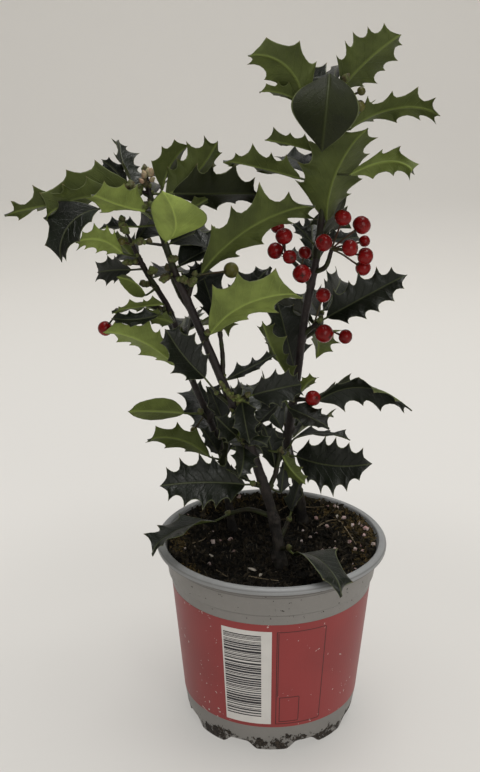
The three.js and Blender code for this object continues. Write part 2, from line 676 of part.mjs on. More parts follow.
// Small turns, as [heading, rise], that a leaf or berry may take to find room before it is left out.
const TURNS = [[0, 0], [5, 0], [-5, 0], [0, 5], [0, -5], [8, 8], [-8, 8], [8, -8], [-8, -8],
  [14, 0], [-14, 0], [0, 14], [0, -14]];

// A mass's one solid: its shoot with the leaves and berries that find room between what is
// "taken" already. A stalk may start inside the mass's own stem, a blade may not cross it.
function mass({ stem, at, route, leaves = [], berries = [], fan }, taken, ownLimb) {
  const parent = STEMS[stem];
  const start = at ? stemPoint(parent, at) : vec(parent.line.at(-1));
  const shoot = new THREE.CatmullRomCurve3([start, ...route.map(vec)], false, "centripetal");
  const thick = at ? SHOOT.thick : parent.end;
  const steps = Math.max(2, Math.round(shoot.getLength() / SHOOT.step));
  const radiusAt = (along) => THREE.MathUtils.lerp(thick, SHOOT.thin, along);
  let body = limb(shoot, radiusAt, { steps, sides: SHOOT.sides });
  const grow = (spec, make) => {
    const from = shoot.getPointAt(spec.along);
    for (const [heading, rise] of TURNS) {
      const turned = { ...spec, heading: spec.heading + heading, rise: spec.rise + rise };
      const free = make(from, turned, CLEAR).intersect(taken).volume() < TOUCH;
      if (free && make(from, turned).intersect(ownLimb).volume() < SHOOT.bite) {
        body = body.add(make(from, turned));
        return;
      }
    }
  };
  leaves.forEach((spec) => grow(spec, leafSolid));
  if (fan) fanLeaves(fan).forEach((spec) => grow(spec, leafSolid));
  berries.forEach((spec) => grow(spec, berrySolid));
  return wholePiece(body.subtract(ownLimb));
}

// ---------------------------------------------------------------- the whole plant
function plant() {
  const group = new THREE.Group();
  const put = (name, geometry, finish) => {
    const mesh = new THREE.Mesh(geometry, finish);
    mesh.name = name;
    group.add(mesh);
    return solidOf(geometry);
  };
  const potSolid = put("pot", pot(), FINISH.pot);
  const soilSolid = put("soil", soil(), FINISH.soil);
  const limbs = {};
  for (const [name, stem] of Object.entries(STEMS)) {
    put(`stem_${name}`, geometryOf(stemSolid(stem)), FINISH.stem);
    limbs[name] = stemSolid(stem, CLEAR);
  }
  let taken = potSolid.add(soilSolid);
  for (const [name, spec] of Object.entries(MASSES)) {
    const others = Object.keys(limbs).filter((stem) => stem !== spec.stem);
    const around = others.reduce((all, stem) => all.add(limbs[stem]), taken);
    const body = mass(spec, around, limbs[spec.stem]);
    put(name, geometryOf(body), FINISH.foliage);
    taken = taken.add(body);
  }
  return group;
}

export default plant();
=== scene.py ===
"""A young potted holly: bark, leaves, berries, compost and pot, made over the packed solids."""

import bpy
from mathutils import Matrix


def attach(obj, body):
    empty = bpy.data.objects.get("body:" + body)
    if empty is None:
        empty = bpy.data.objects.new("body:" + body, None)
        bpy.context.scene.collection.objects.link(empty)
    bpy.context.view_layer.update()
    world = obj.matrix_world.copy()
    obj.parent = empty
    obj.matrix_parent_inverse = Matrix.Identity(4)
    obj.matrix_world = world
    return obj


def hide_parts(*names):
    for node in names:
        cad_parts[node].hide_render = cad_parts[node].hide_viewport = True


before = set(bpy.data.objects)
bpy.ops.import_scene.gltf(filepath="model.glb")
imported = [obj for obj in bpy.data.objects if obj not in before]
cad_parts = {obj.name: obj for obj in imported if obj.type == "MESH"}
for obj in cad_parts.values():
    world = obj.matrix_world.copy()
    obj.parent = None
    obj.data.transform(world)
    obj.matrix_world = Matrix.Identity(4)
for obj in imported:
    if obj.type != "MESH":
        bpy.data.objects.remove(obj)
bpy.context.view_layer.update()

import math
from types import SimpleNamespace

import bpy
import numpy as np
from bpy.props import FloatProperty, FloatVectorProperty, PointerProperty
from bpy.types import Operator, Panel, PropertyGroup
from mathutils import Vector

bl_info = {
    "name": "Potted Holly",
    "version": (1, 0, 0),
    "blender": (4, 5, 0),
    "location": "3D View > Sidebar > Holly",
    "description": "Makes a young holly with berries in a printed nursery pot",
    "category": "Object",
}

# -------- the solids' own sizes, in mm
MM = 0.001
GROUND = 100  # where the stems leave the compost
POT = SimpleNamespace(
    height=110, rim=65, lip_top=60.9, lip_drop=4.6, neck=60.4, ledge=90.3, belly=57.2, band_low=16.5,
    band_low_radius=50.5, foot=47.4, wall=1.2, lobes=8, notch=4.5, pad_radius=30, channel_in=32,
    channel_out=40, drain_radius=36, drain_hole=3.2)
SOIL = SimpleNamespace(
    edge=59, gap=0.6, flat=0.5, bank_front=3, bank_back=12.5, bank_side=3.5, highest=9, dish=1.2,
    ripple=0.7)
STEMS = {
    "front": dict(
        line=[[5, -20, GROUND], [1, -15.5, 126], [-5.5, -14.5, 149], [-14, -12, 173], [-24, -9.5, 197],
              [-36.3, -8, 227], [-45, -8, 248], [-51, -8, 262]],
        foot=4.2, low=2.9, end=2.0,
    ),
    "right": dict(
        line=[[20, 36, GROUND], [17, 30, 122], [9.5, 21, 157], [10.8, 17.5, 174], [14, 14, 201],
              [16.7, 9.5, 231], [22.5, 3.5, 269]],
        foot=3.7, low=2.7, end=2.0,
    ),
    "back": dict(
        line=[[-22, 25, GROUND], [-25, 21.5, 124], [-28, 19, 152], [-37.5, 16, 180], [-46, 15, 202],
              [-56, 12.5, 238], [-62, 10, 250]],
        foot=3.1, low=2.2, end=1.6,
    ),
}
FLARE_HEIGHT = 14
SHOOT_THICK, SHOOT_THIN = 1.5, 1.1
PATH_STEPS = 240  # the parts in which a path's length is measured
GOLDEN_TURN, GOLDEN_SHARE = 2.4, 0.618  # in radians, and as a share of a whole round

# The blade's shape, as shares of its length unless they say otherwise.
BLADE = SimpleNamespace(width=0.46, spine=0.075, spines=3, fold=24, wave=0.038, bend=8, valley=0.84)


def leaf(along, heading, rise, length, roll, stalk=6, **more):
    """A leaf: its place on its shoot, heading and rise, blade length, roll and stalk, in degrees and mm.

    More may give width, spines, bend, twist, curve (to the blade's left), lead (the stalk's own heading
    and rise), smooth, and tone, from 0 for a dark leaf to 4 for a bright one: partly its age, from old to
    young, and partly painted shade and light, darker for a leaf that lies in shade and brighter for a lit
    one.
    """
    return dict(along=along, heading=heading, rise=rise, length=length, roll=roll, stalk=stalk, **more)


def berry(along, heading, rise, stalk, radius):
    """A berry: where its stalk leaves the shoot, the stalk's heading, rise and length, and its radius."""
    return dict(along=along, heading=heading, rise=rise, stalk=stalk, radius=radius)


# Each mass grows from one shoot. It leaves its stem at the height "at", or goes on from the
# stem's end, and passes through "route". "fan" adds leaves by a rule, from its seed, their number,
# heading, spread, rise and length. "spurs" are short budded twigs, each with its place on the shoot,
# heading, rise and length.
MASSES = {
    "crown_left": dict(
        stem="front", route=[[-57, -6, 280], [-61, -3, 292], [-64, -1, 303], [-66, 0, 314]],
        leaves=[
            leaf(0.9, -167, -10, 59, 53, 15, width=0.24, bend=5, spines=4),
            leaf(0.9, -164, -16, 48, 58, 8, width=0.56, bend=44, curve=0.03),
            leaf(0.72, -151, -50, 33, -32, lead=[-162, -4], stalk=28, width=0.74, bend=66, curve=-0.16,
                 tone=0),
            leaf(0.6, -135, 21, 37, 46, 7, width=0.55, bend=-5, curve=-0.03, tone=3),
            leaf(0.5, 160, -7, 24, -26, 12, tone=4, spines=4),
            leaf(0.76, 115, 46, 31, 34, lead=[160, 30], stalk=10, width=0.58, bend=-11, curve=0.1,
                 spines=4),
            leaf(0.8, 146, 40, 22, -75, lead=[150, 5], stalk=14, width=0.36, bend=-20, curve=-0.07),
            leaf(0.7, 22, 55, 26, -51, 10, width=0.86, bend=39, curve=-0.06),
            leaf(0.65, -1, 47, 38, -58, 10, width=0.6, bend=12, curve=0.13, spines=4),
            leaf(0.8, -5, 1, 46, -58, 12, width=0.6, tone=0, spines=4),
            leaf(0.3, -89, 56, 35, -12, 3, width=0.89, bend=-42, curve=0.2, smooth=True, tone=4),
            leaf(0.46, 14, 30, 18, -52, 16, spines=2),
        ],
        spurs=[(0.85, -120, 40, 6), (0.8, -155, 20, 11), (0.7, -135, -5, 8), (0.15, -70, 20, 6),
               (0.05, -150, -30, 8), (0.3, -175, 8, 14)],
        fan=(11, 4, 92, 42, -14, 44),
    ),
    "sprig_long": dict(
        stem="front", at=249, route=[[-41.5, -9.5, 261.5]],
        leaves=[leaf(1, -20, 33, 72, -60, 5, width=0.3, bend=20, curve=-0.08, spines=4)],
        berries=[berry(1, 24, 5, 21, 4.2)],
        spurs=[(0.8, -150, 15, 7), (0.6, -80, 40, 6)],
    ),
    # Both leaves take the darkest tone: painted shade, for leaves that lie in the shade behind the front
    # stem.
    "sprig_shade": dict(
        stem="front", at=240, route=[[-50, 2, 250], [-55, 2, 262]],
        leaves=[
            leaf(1, 18, 25, 32, 22, width=0.9, tone=0),
            leaf(0.5, 37, 34, 22, 7, 3, width=0.7, tone=0),
        ],
    ),
    "sprig_bright": dict(
        stem="front", at=226, route=[[-35, -11.5, 231]],
        leaves=[leaf(1, -24, 28, 58, -53, 2, width=0.5, bend=2, curve=-0.14, tone=3)],
    ),
    "sprig_behind": dict(
        stem="front", at=205, route=[[-27, -7, 217], [-28.5, -2, 230]],
        leaves=[
            leaf(0.1, 14, 24, 30, 27, lead=[-30, -35], stalk=3, width=0.29, bend=-9),
            leaf(1, 19, 50, 40, 22, 4, width=0.5, tone=0, spines=4),
            leaf(0.95, 120, 53, 40, 0, 4, width=0.5, tone=0, spines=4),
        ],
    ),
    "sprig_upright": dict(
        stem="front", at=190, route=[[-29.5, -11.5, 198]],
        leaves=[leaf(1, -173, 54, 34, -65, 12, width=0.63, bend=-9, curve=0.04, tone=0, spines=4)],
    ),
    "sprig_knot": dict(
        stem="front", at=192, route=[[-15, -12, 197]],
        leaves=[
            leaf(1, 14, 8, 28, 68, 4, width=0.63, bend=71, tone=0, spines=4),
            leaf(0.7, -75, -48, 24, 10, 2, width=0.6, bend=20, tone=0),
        ],
    ),
    "sprig_inner": dict(
        stem="front", at=166, route=[[-17, -13, 172]],
        leaves=[
            leaf(1, -131, 44, 22, -98, width=0.6, tone=0),
            leaf(0.9, -150, 60, 14, 38, 4, width=0.5, spines=2),
            leaf(1, -45, 8, 18, 25, 2, width=0.62, bend=70, tone=2),
            leaf(0.8, -95, -20, 24, -30, 3, width=0.6, bend=30, tone=0),
        ],
    ),
    "sprig_glossy": dict(
        stem="front", at=146, route=[[-9.5, -17.5, 148.5]],
        leaves=[
            leaf(1, -164, 6, 47, -60, 6, width=0.51, bend=6, curve=-0.03, spines=5, tone=0),
            leaf(0.6, -155, 34, 17, -37, width=0.4, tone=2),
        ],
    ),
    "sprig_pale": dict(
        stem="front", at=142, route=[[1.5, -13, 153], [4, -12, 165]],
        leaves=[
            leaf(1, -33, -42, 20, -103, 2, width=0.47, bend=-15, curve=0.06),
            leaf(0.15, 60, 80, 17, 60, lead=[20, -30], stalk=8, width=0.5),
            leaf(1, 162, 4, 24, -15, 9, width=0.4, bend=20),
            leaf(0.55, 124, 62, 24, 0, 2, width=0.7, tone=0),
        ],
    ),
    "sprig_over_rim_left": dict(
        stem="front", at=128, route=[[-12, -12, 131], [-23, -8, 127]],
        leaves=[leaf(1, -137, -4, 46, 6, 11, width=0.42, bend=18, curve=-0.12)],
    ),
    "sprig_over_rim_right": dict(
        stem="front", at=110, route=[[8, -24, 113.5]],
        leaves=[leaf(1, -60, -3, 46, -14, 8, width=0.48, bend=72, spines=2, tone=0)],
    ),
    "sprig_foot": dict(
        stem="front", at=113, route=[[9, -7, 121]],
        leaves=[leaf(1, 36, 70, 21, -6, width=0.6, tone=0)],
    ),

    "crown_right": dict(
        stem="right", route=[[24, 2, 285], [25.2, 1, 303], [26.5, 1, 325], [28, 1, 345], [29, 1, 358]],
        leaves=[
            leaf(0.12, -20, 68, 52, -52, 10, width=0.7, bend=-7, curve=-0.12, spines=4),
            leaf(0.72, -163, 42, 40, 69, 18, width=0.55, bend=54, curve=0.21),
            leaf(1, -102, -59, 40, 166, lead=[-115, 30], stalk=8, width=0.88, bend=-117, curve=0.02,
                 smooth=True, tone=0),
            leaf(0.61, -171, 13, 27, 25, width=0.5, twist=40),
            leaf(0.93, -1, 42, 38, -65, 6, width=0.67, bend=5, curve=-0.04, spines=5),
            leaf(0.44, -171, 14, 41, 36, 13, spines=4),
            leaf(0.73, -24, 10, 47, -64, 11, width=0.29, twist=-54, bend=85, curve=-0.06, spines=4),
            leaf(0.49, -35, 4, 37, -118, 14, width=0.33, twist=-39, bend=73, curve=-0.26, tone=2),
            leaf(0.1, 34, -2, 25, 37, 4),
            leaf(0.06, 131, 29, 16, -19, tone=0),
            leaf(0.8, -177, 12, 19, 41, lead=[-175, 30], stalk=20, width=0.57, bend=16, curve=0.08),
        ],
        berries=[berry(0.8, -25, 25, 17, 2.9), berry(0.88, -25, 25, 17, 2.2)],
        fan=(5, 6, 92, 40, -12, 42),
    ),
    "berries_right": dict(
        stem="right", at=261, route=[[27, -0.5, 265], [30, 0, 274]],
        berries=[
            berry(1, -21, 72, 18, 4.4), berry(1, 7, 39, 20, 4.9), berry(1, 19, 10, 19, 3.1),
            berry(1, -34, 11, 11, 4.4), berry(1, 0, -11, 18, 4.5), berry(1, 16, -31, 21, 4.2),
            berry(1, -120, 29, 11, 4.5),
        ],
    ),
    "berries_left": dict(
        stem="right", at=253, route=[[13, 2.5, 264], [6, 1, 271]],
        berries=[
            berry(1, -109, 73, 11, 4.5), berry(1, 158, 17, 6, 4.4), berry(1, -74, 3, 7, 3.7),
            berry(0.5, 65, 53, 10, 3.6), berry(0.5, -88, 0, 9, 4.9), berry(1, 118, 57, 16, 3.7),
        ],
    ),
    "sprig_right_high": dict(
        stem="right", at=224, route=[[24, 6, 233]],
        leaves=[leaf(1, -7, 31, 48, 70, 6, width=0.44, bend=7, spines=5, tone=0)],
        berries=[
            berry(0.7, -50, -12, 9, 5.0), berry(0.8, -20, -15, 18, 3.9), berry(0.75, -40, 72, 19, 4.1),
        ],
    ),
    "sprig_narrow": dict(
        stem="right", at=186, route=[[19, 9, 188]],
        leaves=[
            leaf(1, -24, 1, 52, 124, 7, width=0.39, twist=49, bend=-79, curve=0.1, spines=4),
            leaf(0.3, -40, 47, 16, -41, lead=[-60, 60], stalk=5, width=0.5, bend=50, tone=2),
        ],
        berries=[berry(0.6, -62, 20, 13, 4.3)],
    ),
    "sprig_low_middle": dict(
        stem="right", at=191, route=[[6, 4, 190]],
        leaves=[
            leaf(0.9, -141, -29, 22, -9, 5, width=0.6, tone=0),
            leaf(0.9, -32, -14, 26, 20, lead=[-50, -50], stalk=6, width=0.62, tone=0),
        ],
    ),
    "sprig_grey": dict(
        stem="right", at=194, route=[[13.5, 22, 199]],
        leaves=[leaf(1, 145, 72, 38, -19, 4, width=0.72, spines=4)],
    ),
    "sprig_twisted": dict(
        stem="right", at=192, route=[[12.5, 8, 197]],
        leaves=[leaf(1, -165, 63, 40, 26, 2, width=0.34, twist=45, bend=-22, spines=4)],
    ),
    "sprig_right_low": dict(
        stem="right", at=150, route=[[9, 8, 158], [8, 1, 158]],
        leaves=[
            leaf(1, -27, 5, 44, 71, 6, width=0.62, bend=4, curve=-0.07, spines=5, tone=0),
            leaf(0.6, -12, 2, 31, -3, lead=[-40, 62], stalk=10, width=0.36, bend=50),
        ],
    ),

    "crown_back": dict(
        stem="back", route=[[-67, 8, 259], [-71, 6, 268], [-74, 5, 275]],
        leaves=[
            leaf(0.75, -138, 19, 31, 76, 11, width=0.41, bend=14, curve=0.13, tone=3, spines=4),
            leaf(0.6, 163, 41, 18, 69, width=0.6, spines=2),
            leaf(0.5, 143, -11, 26, -73, 10, width=0.54, bend=30, tone=0),
            leaf(0.05, -142, 36, 21, 136, lead=[-149, -25], stalk=8, width=0.66, bend=-56, curve=0.06,
                 smooth=True, tone=2),
        ],
        berries=[berry(1, -140, 25, 8, 2.3)],
        spurs=[(1, -120, 55, 14), (0.6, -150, 10, 10), (0.35, -60, 30, 7), (0.1, -165, 10, 7)],
        fan=(23, 3, 85, 40, -5, 40),
    ),
    "sprig_left_long": dict(
        stem="back", at=236, route=[[-70, 7, 243], [-82, 4, 240]],
        leaves=[
            leaf(0.15, -154, 0, 29, 39, lead=[-90, 40], stalk=9, width=0.36, bend=-8, curve=0.05, tone=2,
                 spines=4),
            leaf(0.22, -181, -4, 25, -43, lead=[-90, 5], stalk=17, width=0.41, bend=20, curve=0.11),
            leaf(0.02, -187, 17, 18, 96, lead=[-80, -5], stalk=14, width=0.46, bend=13),
        ],
        berries=[berry(1, 175, -50, 13, 4.1)],
    ),
    "sprig_left_mid": dict(
        stem="back", at=197, route=[[-44, 3, 206]],
        leaves=[leaf(1, -168, 29, 44, 60, 10, width=0.45, bend=32, curve=0.05, spines=5, tone=3)],
    ),
    "sprig_smooth": dict(
        stem="back", at=172, route=[[-39, 12.5, 178.5]],
        leaves=[leaf(1, -157, 10, 33, 69, 11, width=0.51, bend=33, curve=-0.04, smooth=True, tone=2)],
        berries=[berry(0.7, 170, -55, 11, 2.1)],
    ),
    "sprig_dark": dict(
        stem="back", at=160, route=[[-25, 9, 168]],
        leaves=[leaf(1, 154, 65, 23, -12, width=0.7, tone=0)],
    ),
    "sprig_left_low": dict(
        stem="back", at=145, route=[[-27, 8, 152]],
        leaves=[
            leaf(1, -163, 22, 38, 76, 9, width=0.41, bend=53, curve=0.08),
            leaf(0.8, -157, 59, 20, -60, width=0.5),
            leaf(0.7, -48, 80, 24, 13, lead=[-85, -20], stalk=8, width=0.4, tone=0),
        ],
    ),

    "back_low_left": dict(
        stem="back", at=150, route=[[-24, 36, 158]],
        fan=(3, 5, 85, 55, 2, 44),
    ),
    "back_low_right": dict(
        stem="right", at=156, route=[[9, 36, 162]],
        fan=(7, 5, 85, 60, 4, 46),
    ),
    "back_mid_left": dict(
        stem="back", at=214, route=[[-52, 28, 222]],
        fan=(13, 4, 95, 50, 2, 42),
    ),
    "back_mid_right": dict(
        stem="right", at=222, route=[[26, 19, 227], [28, 33, 230]],
        fan=(17, 4, 104, 36, -10, 42),
    ),
    "back_high_right": dict(
        stem="right", at=254, route=[[22, 22, 262]],
        fan=(29, 4, 92, 32, 4, 38),
    ),
}


# -------- lines, turns and lumps


class Path:
    """A smooth line through points at even speed, the same centripetal line as the solids'."""

    def __init__(self, points):
        self.points = np.array(points, float)
        self.steps = np.linspace(0, 1, PATH_STEPS + 1)
        self.fine = np.array([self._raw(step) for step in self.steps])
        gaps = np.linalg.norm(np.diff(self.fine, axis=0), axis=1)
        self.reach = np.concatenate([[0], np.cumsum(gaps)])
        self.length = self.reach[-1]

    def _raw(self, step):
        p = self.points
        last = len(p) - 1
        place = last * step
        i = min(int(place), last - 1)
        w = place - i
        before = p[i - 1] if i > 0 else 2 * p[0] - p[1]
        after = p[i + 2] if i + 2 <= last else 2 * p[last] - p[last - 1]
        a, b = p[i], p[i + 1]
        d0, d1, d2 = (np.linalg.norm(v) ** 0.5 for v in (a - before, b - a, after - b))
        t1 = ((a - before) / d0 - (b - before) / (d0 + d1) + (b - a) / d1) * d1
        t2 = ((b - a) / d1 - (after - a) / (d1 + d2) + (after - b) / d2) * d1
        return a + t1 * w + (3 * (b - a) - 2 * t1 - t2) * w**2 + (2 * (a - b) + t1 + t2) * w**3

    def at(self, share):
        step = np.interp(share * self.length, self.reach, self.steps)
        return self._raw(float(step))

    def tangent(self, share):
        low, high = max(0, share - 0.01), min(1, share + 0.01)
        return unit(self.at(high) - self.at(low))

    def share_at_height(self, height):
        return float(np.interp(height, self.fine[:, 2], self.reach / self.length))


def unit(vector):
    return vector / np.linalg.norm(vector, axis=-1, keepdims=True)


def way_at(turn, rise):
    """A direction by its turn in radians, with a rise for each step out."""
    return np.array([math.cos(turn), math.sin(turn), rise])


def spun(vector, axis, angle):
    """A vector turned about an axis by an angle in radians."""
    return (vector * np.cos(angle) + np.cross(axis, vector) * np.sin(angle)
            + axis * (axis @ vector) * (1 - np.cos(angle)))


def stream(seed):
    """The solids' own repeatable stream of numbers from 0 to 1."""
    state = seed * 7919 + 13
    while True:
        state = (state * 16807) % 2147483647
        yield state / 2147483647


def lumps(points, size, seed):
    """Smooth bumps from -1 to 1 over an array of points, about one bump to a size."""
    places = np.asarray(points, float) / size + seed * 17.31
    cell = np.floor(places).astype(np.int64)
    part = places - cell
    part = part * part * (3 - 2 * part)
    total = np.zeros(len(places))
    for corner in range(8):
        step = np.array([corner & 1, corner >> 1 & 1, corner >> 2])
        x, y, z = (cell + step).T
        mixed = (x * 73856093) ^ (y * 19349663) ^ (z * 83492791)
        mixed = (mixed ^ (mixed >> 13)) * 1274126177 & 0x7FFFFFFF
        share = np.prod(np.where(step, part, 1 - part), axis=1)
        total += share * (mixed / 0x3FFFFFFF - 1)
    return total


def smoothstep(low, high, value):
    share = np.clip((value - low) / (high - low), 0, 1)
    return share * share * (3 - 2 * share)


# -------- meshes


def linked(name, data):
    """A new object of the scene, at the origin, that holds a mesh, a lamp or a lens."""
    thing = bpy.data.objects.new(name, data)
    bpy.context.scene.collection.objects.link(thing)
    return thing


def build_mesh(name, points, faces, materials=(), numbers=(), smooth=True, uv=None, floats=None, edges=()):
    """An object from points in mm, with its faces, their material numbers, a UV map and attributes."""
    mesh = bpy.data.meshes.new(name)
    mesh.from_pydata((np.asarray(points) * MM).tolist(), edges, [list(map(int, f)) for f in faces])
    for material in materials:
        mesh.materials.append(material)
    if len(numbers):
        mesh.polygons.foreach_set("material_index", np.asarray(numbers, np.int32))
    mesh.polygons.foreach_set("use_smooth", np.full(len(mesh.polygons), smooth))
    if uv is not None:
        corners = np.zeros(len(mesh.loops), np.int32)
        mesh.loops.foreach_get("vertex_index", corners)
        layer = mesh.uv_layers.new(name="surface")
        layer.data.foreach_set("uv", np.asarray(uv, np.float32)[corners].ravel())
    for key, values in (floats or {}).items():
        values = np.asarray(values, np.float32)
        kind, field = ("FLOAT", "value") if values.ndim == 1 else ("FLOAT_VECTOR", "vector")
        mesh.attributes.new(key, kind, "POINT").data.foreach_set(field, values.ravel())
    mesh.update()
    return linked(name, mesh)


def evaluated_mesh(name, thing):
    """The plain mesh that a thing's modifiers make of it."""
    mesh = bpy.data.meshes.new_from_object(thing.evaluated_get(bpy.context.evaluated_depsgraph_get()))
    mesh.name = name
    return mesh


def ring_faces(rings, sides, caps=True):
    """The faces of a tube of rings, outwards where the rings turn left about the way they go."""
    faces = []
    for i in range(rings - 1):
        for k in range(sides):
            a, b = i * sides + k, i * sides + (k + 1) % sides
            faces.append((a, b, b + sides, a + sides))
    if caps:
        faces += [tuple(reversed(range(sides))), tuple(range((rings - 1) * sides, rings * sides))]
    return faces


def poled_faces(rings, sides, start, foot, top):
    """The same for rings whose points begin at "start" and that close in a foot and a top point."""
    def at(ring, k):
        return start + ring * sides + k % sides

    faces = []
    for k in range(sides):
        faces.append((foot, at(0, k + 1), at(0, k)))
        faces.append((top, at(rings - 1, k), at(rings - 1, k + 1)))
        for i in range(rings - 1):
            faces.append((at(i, k), at(i, k + 1), at(i + 1, k + 1), at(i + 1, k)))
    return faces


def softened(section, reach):
    """A section's corners rounded, each by an arc of 4 points that starts at most "reach" mm before it."""
    section = [np.array(p, float) for p in section]
    out = [section[0]]
    for before, corner, after in zip(section, section[1:], section[2:]):
        back, on = before - corner, after - corner
        r = min(reach, 0.4 * np.linalg.norm(back), 0.4 * np.linalg.norm(on))
        start, end = corner + unit(back) * r, corner + unit(on) * r
        for t in np.linspace(0, 1, 4):
            out.append((1 - t) ** 2 * start + 2 * t * (1 - t) * corner + t * t * end)
    return out + [section[-1]]


def dress(thing, slot, *nodes):
    """The finished piece rides on the plant and stands for its solids. The slot is not used."""
    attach(thing, "root")
    if nodes:
        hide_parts(*nodes)


# -------- node graphs


class Wire:
    """A node's output that can be used in sums: every operator adds one Math node."""

    def __init__(self, graph, socket):
        self.graph, self.socket = graph, socket

    def out(self, name):
        """Another output of the same node."""
        return Wire(self.graph, self.socket.node.outputs[name])

    def _math(self, operation, *values):
        return self.graph.node("ShaderNodeMath", {"operation": operation}, dict(enumerate(values)))

    def __add__(self, other):
        return self._math("ADD", self, other)

    def __sub__(self, other):
        return self._math("SUBTRACT", self, other)

    def __rsub__(self, other):
        return self._math("SUBTRACT", other, self)

    def __mul__(self, other):
        return self._math("MULTIPLY", self, other)

    def __abs__(self):
        return self._math("ABSOLUTE", self)

    __radd__ = __add__
    __rmul__ = __mul__

    def inside(self, low, high, soft):
        """1 from low to high, and 0 where it is more than "soft" past either."""
        return self.between(low - soft, low) * self.between(high + soft, high)

    def fraction(self):
        return self._math("FRACT", self)

    def sine(self):
        return self._math("SINE", self)

    def cosine(self):
        return self._math("COSINE", self)

    def least(self, other):
        return self._math("MINIMUM", self, other)

    def between(self, low, high):
        """0 below low and 1 above high, smooth in between; falls where high is below low."""
        return self.graph.node("ShaderNodeMapRange", {"interpolation_type": "SMOOTHSTEP"},
                               {"Value": self, "From Min": low, "From Max": high})


class Graph:
    """A shader's or a modifier's node tree, built one node at a time."""

    def __init__(self, tree):
        self.tree = tree
        tree.nodes.clear()

    def node(self, kind, settings=None, values=None, out=0):
        """Adds a node: its settings first, then numbers or wires for its sockets. Gives an output."""
        node = self.tree.nodes.new(kind)
        for key, value in (settings or {}).items():
            setattr(node, key, value)
        for key, value in (values or {}).items():
            socket = node.inputs[key]
            if isinstance(value, Wire):
                self.tree.links.new(value.socket, socket)
            else:
                socket.default_value = value
        return Wire(self, node.outputs[out]) if len(node.outputs) else None

    def mixed(self, share, first, second):
        """Two colours mixed by a share."""
        return self.node("ShaderNodeMix", {"data_type": "RGBA"},
                         {0: share, 6: rgba(first), 7: rgba(second)}, out=2)

    def shades(self, share, colour, first, second):
        """Two shades of one colour mixed by a share."""
        return self.mixed(share, tinted(colour, first), tinted(colour, second))

    def noise(self, where, scale, detail, roughness=0.5):
        return self.node("ShaderNodeTexNoise", {},
                         {"Vector": where, "Scale": scale, "Detail": detail, "Roughness": roughness})

    def bumped(self, height, distance, strength):
        return self.node("ShaderNodeBump", {}, {"Height": height, "Distance": distance, "Strength": strength})

    def cells(self, where, scale, feature="F1"):
        return self.node("ShaderNodeTexVoronoi", {"feature": feature}, {"Vector": where, "Scale": scale})

    def height(self, where):
        return self.node("ShaderNodeSeparateXYZ", {}, {0: where}).out("Z")

    def attribute(self, name):
        return self.node("ShaderNodeAttribute", {"attribute_name": name}).out("Fac")

    def stretched(self, where, x, y, z):
        return self.node("ShaderNodeMapping", {}, {"Vector": where, "Scale": (x, y, z)})

    def named(self, name, kind="FLOAT"):
        """What the points of a modifier's mesh keep under a name."""
        return self.node("GeometryNodeInputNamedAttribute", {"data_type": kind}, {"Name": name})

    def chance(self, low, high, seed):
        """A number for each point at random."""
        return self.node("FunctionNodeRandomValue", {"data_type": "FLOAT"},
                         {2: low, 3: high, "Seed": seed}, out=1)


def rgba(colour):
    return colour if isinstance(colour, Wire) else (*tuple(colour)[:3], 1.0)


def tinted(colour, share):
    """A colour made lighter or darker by a share."""
    return tuple(min(1.0, c * share) for c in tuple(colour)[:3])


def finish_material(name, shine, paint, **plain):
    """A material with its shine and other plain numbers, and what paint(graph, where) varies over it.

    "where" is the piece's own coordinates, which are the plant's, in metres. The paint gives a colour, a
    roughness, a normal or none, and the colour of a glow if there is one.
    """
    material = bpy.data.materials.new(name)
    material.use_nodes = True
    graph = Graph(material.node_tree)
    painted = zip(("Base Color", "Roughness", "Normal", "Emission Color"),
                  paint(graph, graph.node("ShaderNodeTexCoord").out("Object")))
    sockets = {key: wire for key, wire in painted if wire is not None}
    sockets.update({key.replace("_", " "): value for key, value in plain.items()})
    sockets["Specular IOR Level"] = shine
    shader = graph.node("ShaderNodeBsdfPrincipled", {}, sockets)
    graph.node("ShaderNodeOutputMaterial", {}, {"Surface": shader})
    return material


# -------- modifiers' trees


def rule_tree(name, *inputs):
    """A geometry tree with a material and inputs, given as (name, type, default): its graph and start."""
    tree = bpy.data.node_groups.new(name, "GeometryNodeTree")
    tree.interface.new_socket("Geometry", in_out="INPUT", socket_type="NodeSocketGeometry")
    for label, kind, default in (*inputs, ("Material", "Material", None)):
        socket = tree.interface.new_socket(label, in_out="INPUT", socket_type="NodeSocket" + kind)
        if default is not None:
            socket.default_value = default
    tree.interface.new_socket("Geometry", in_out="OUTPUT", socket_type="NodeSocketGeometry")
    graph = Graph(tree)
    return graph, graph.node("NodeGroupInput")


def close_tree(graph, start, geometry):
    """The end of every rule: real instances and the material."""
    real = graph.node("GeometryNodeRealizeInstances", {}, {"Geometry": geometry})
    done = graph.node("GeometryNodeSetMaterial", {}, {"Geometry": real, "Material": start.out("Material")})
    graph.node("NodeGroupOutput", {}, {"Geometry": done})
    return graph.tree


def close_with_forms(graph, start, points, rotation, size):
    """The end of a rule that sets its form at every point."""
    form = graph.node("GeometryNodeObjectInfo", {}, {"Object": start.out("Form")}).out("Geometry")
    return close_tree(graph, start, graph.node("GeometryNodeInstanceOnPoints", {}, {
        "Points": points, "Instance": form, "Rotation": rotation, "Scale": size}))


def grown(name, seedling, tree, inputs):
    """What a rule grows from a mesh, as a plain mesh object; the mesh it started from goes."""
    rule = seedling.modifiers.new("rule", "NODES")
    rule.node_group = tree
    for item in tree.interface.items_tree:
        if item.item_type == "SOCKET" and item.in_out == "INPUT" and item.name in inputs:
            rule[item.identifier] = inputs[item.name]
    mesh = evaluated_mesh(name, seedling)
    bpy.data.objects.remove(seedling)
    if not len(mesh.polygons):
        raise RuntimeError(f"{name} came out empty")
    return linked(name, mesh)


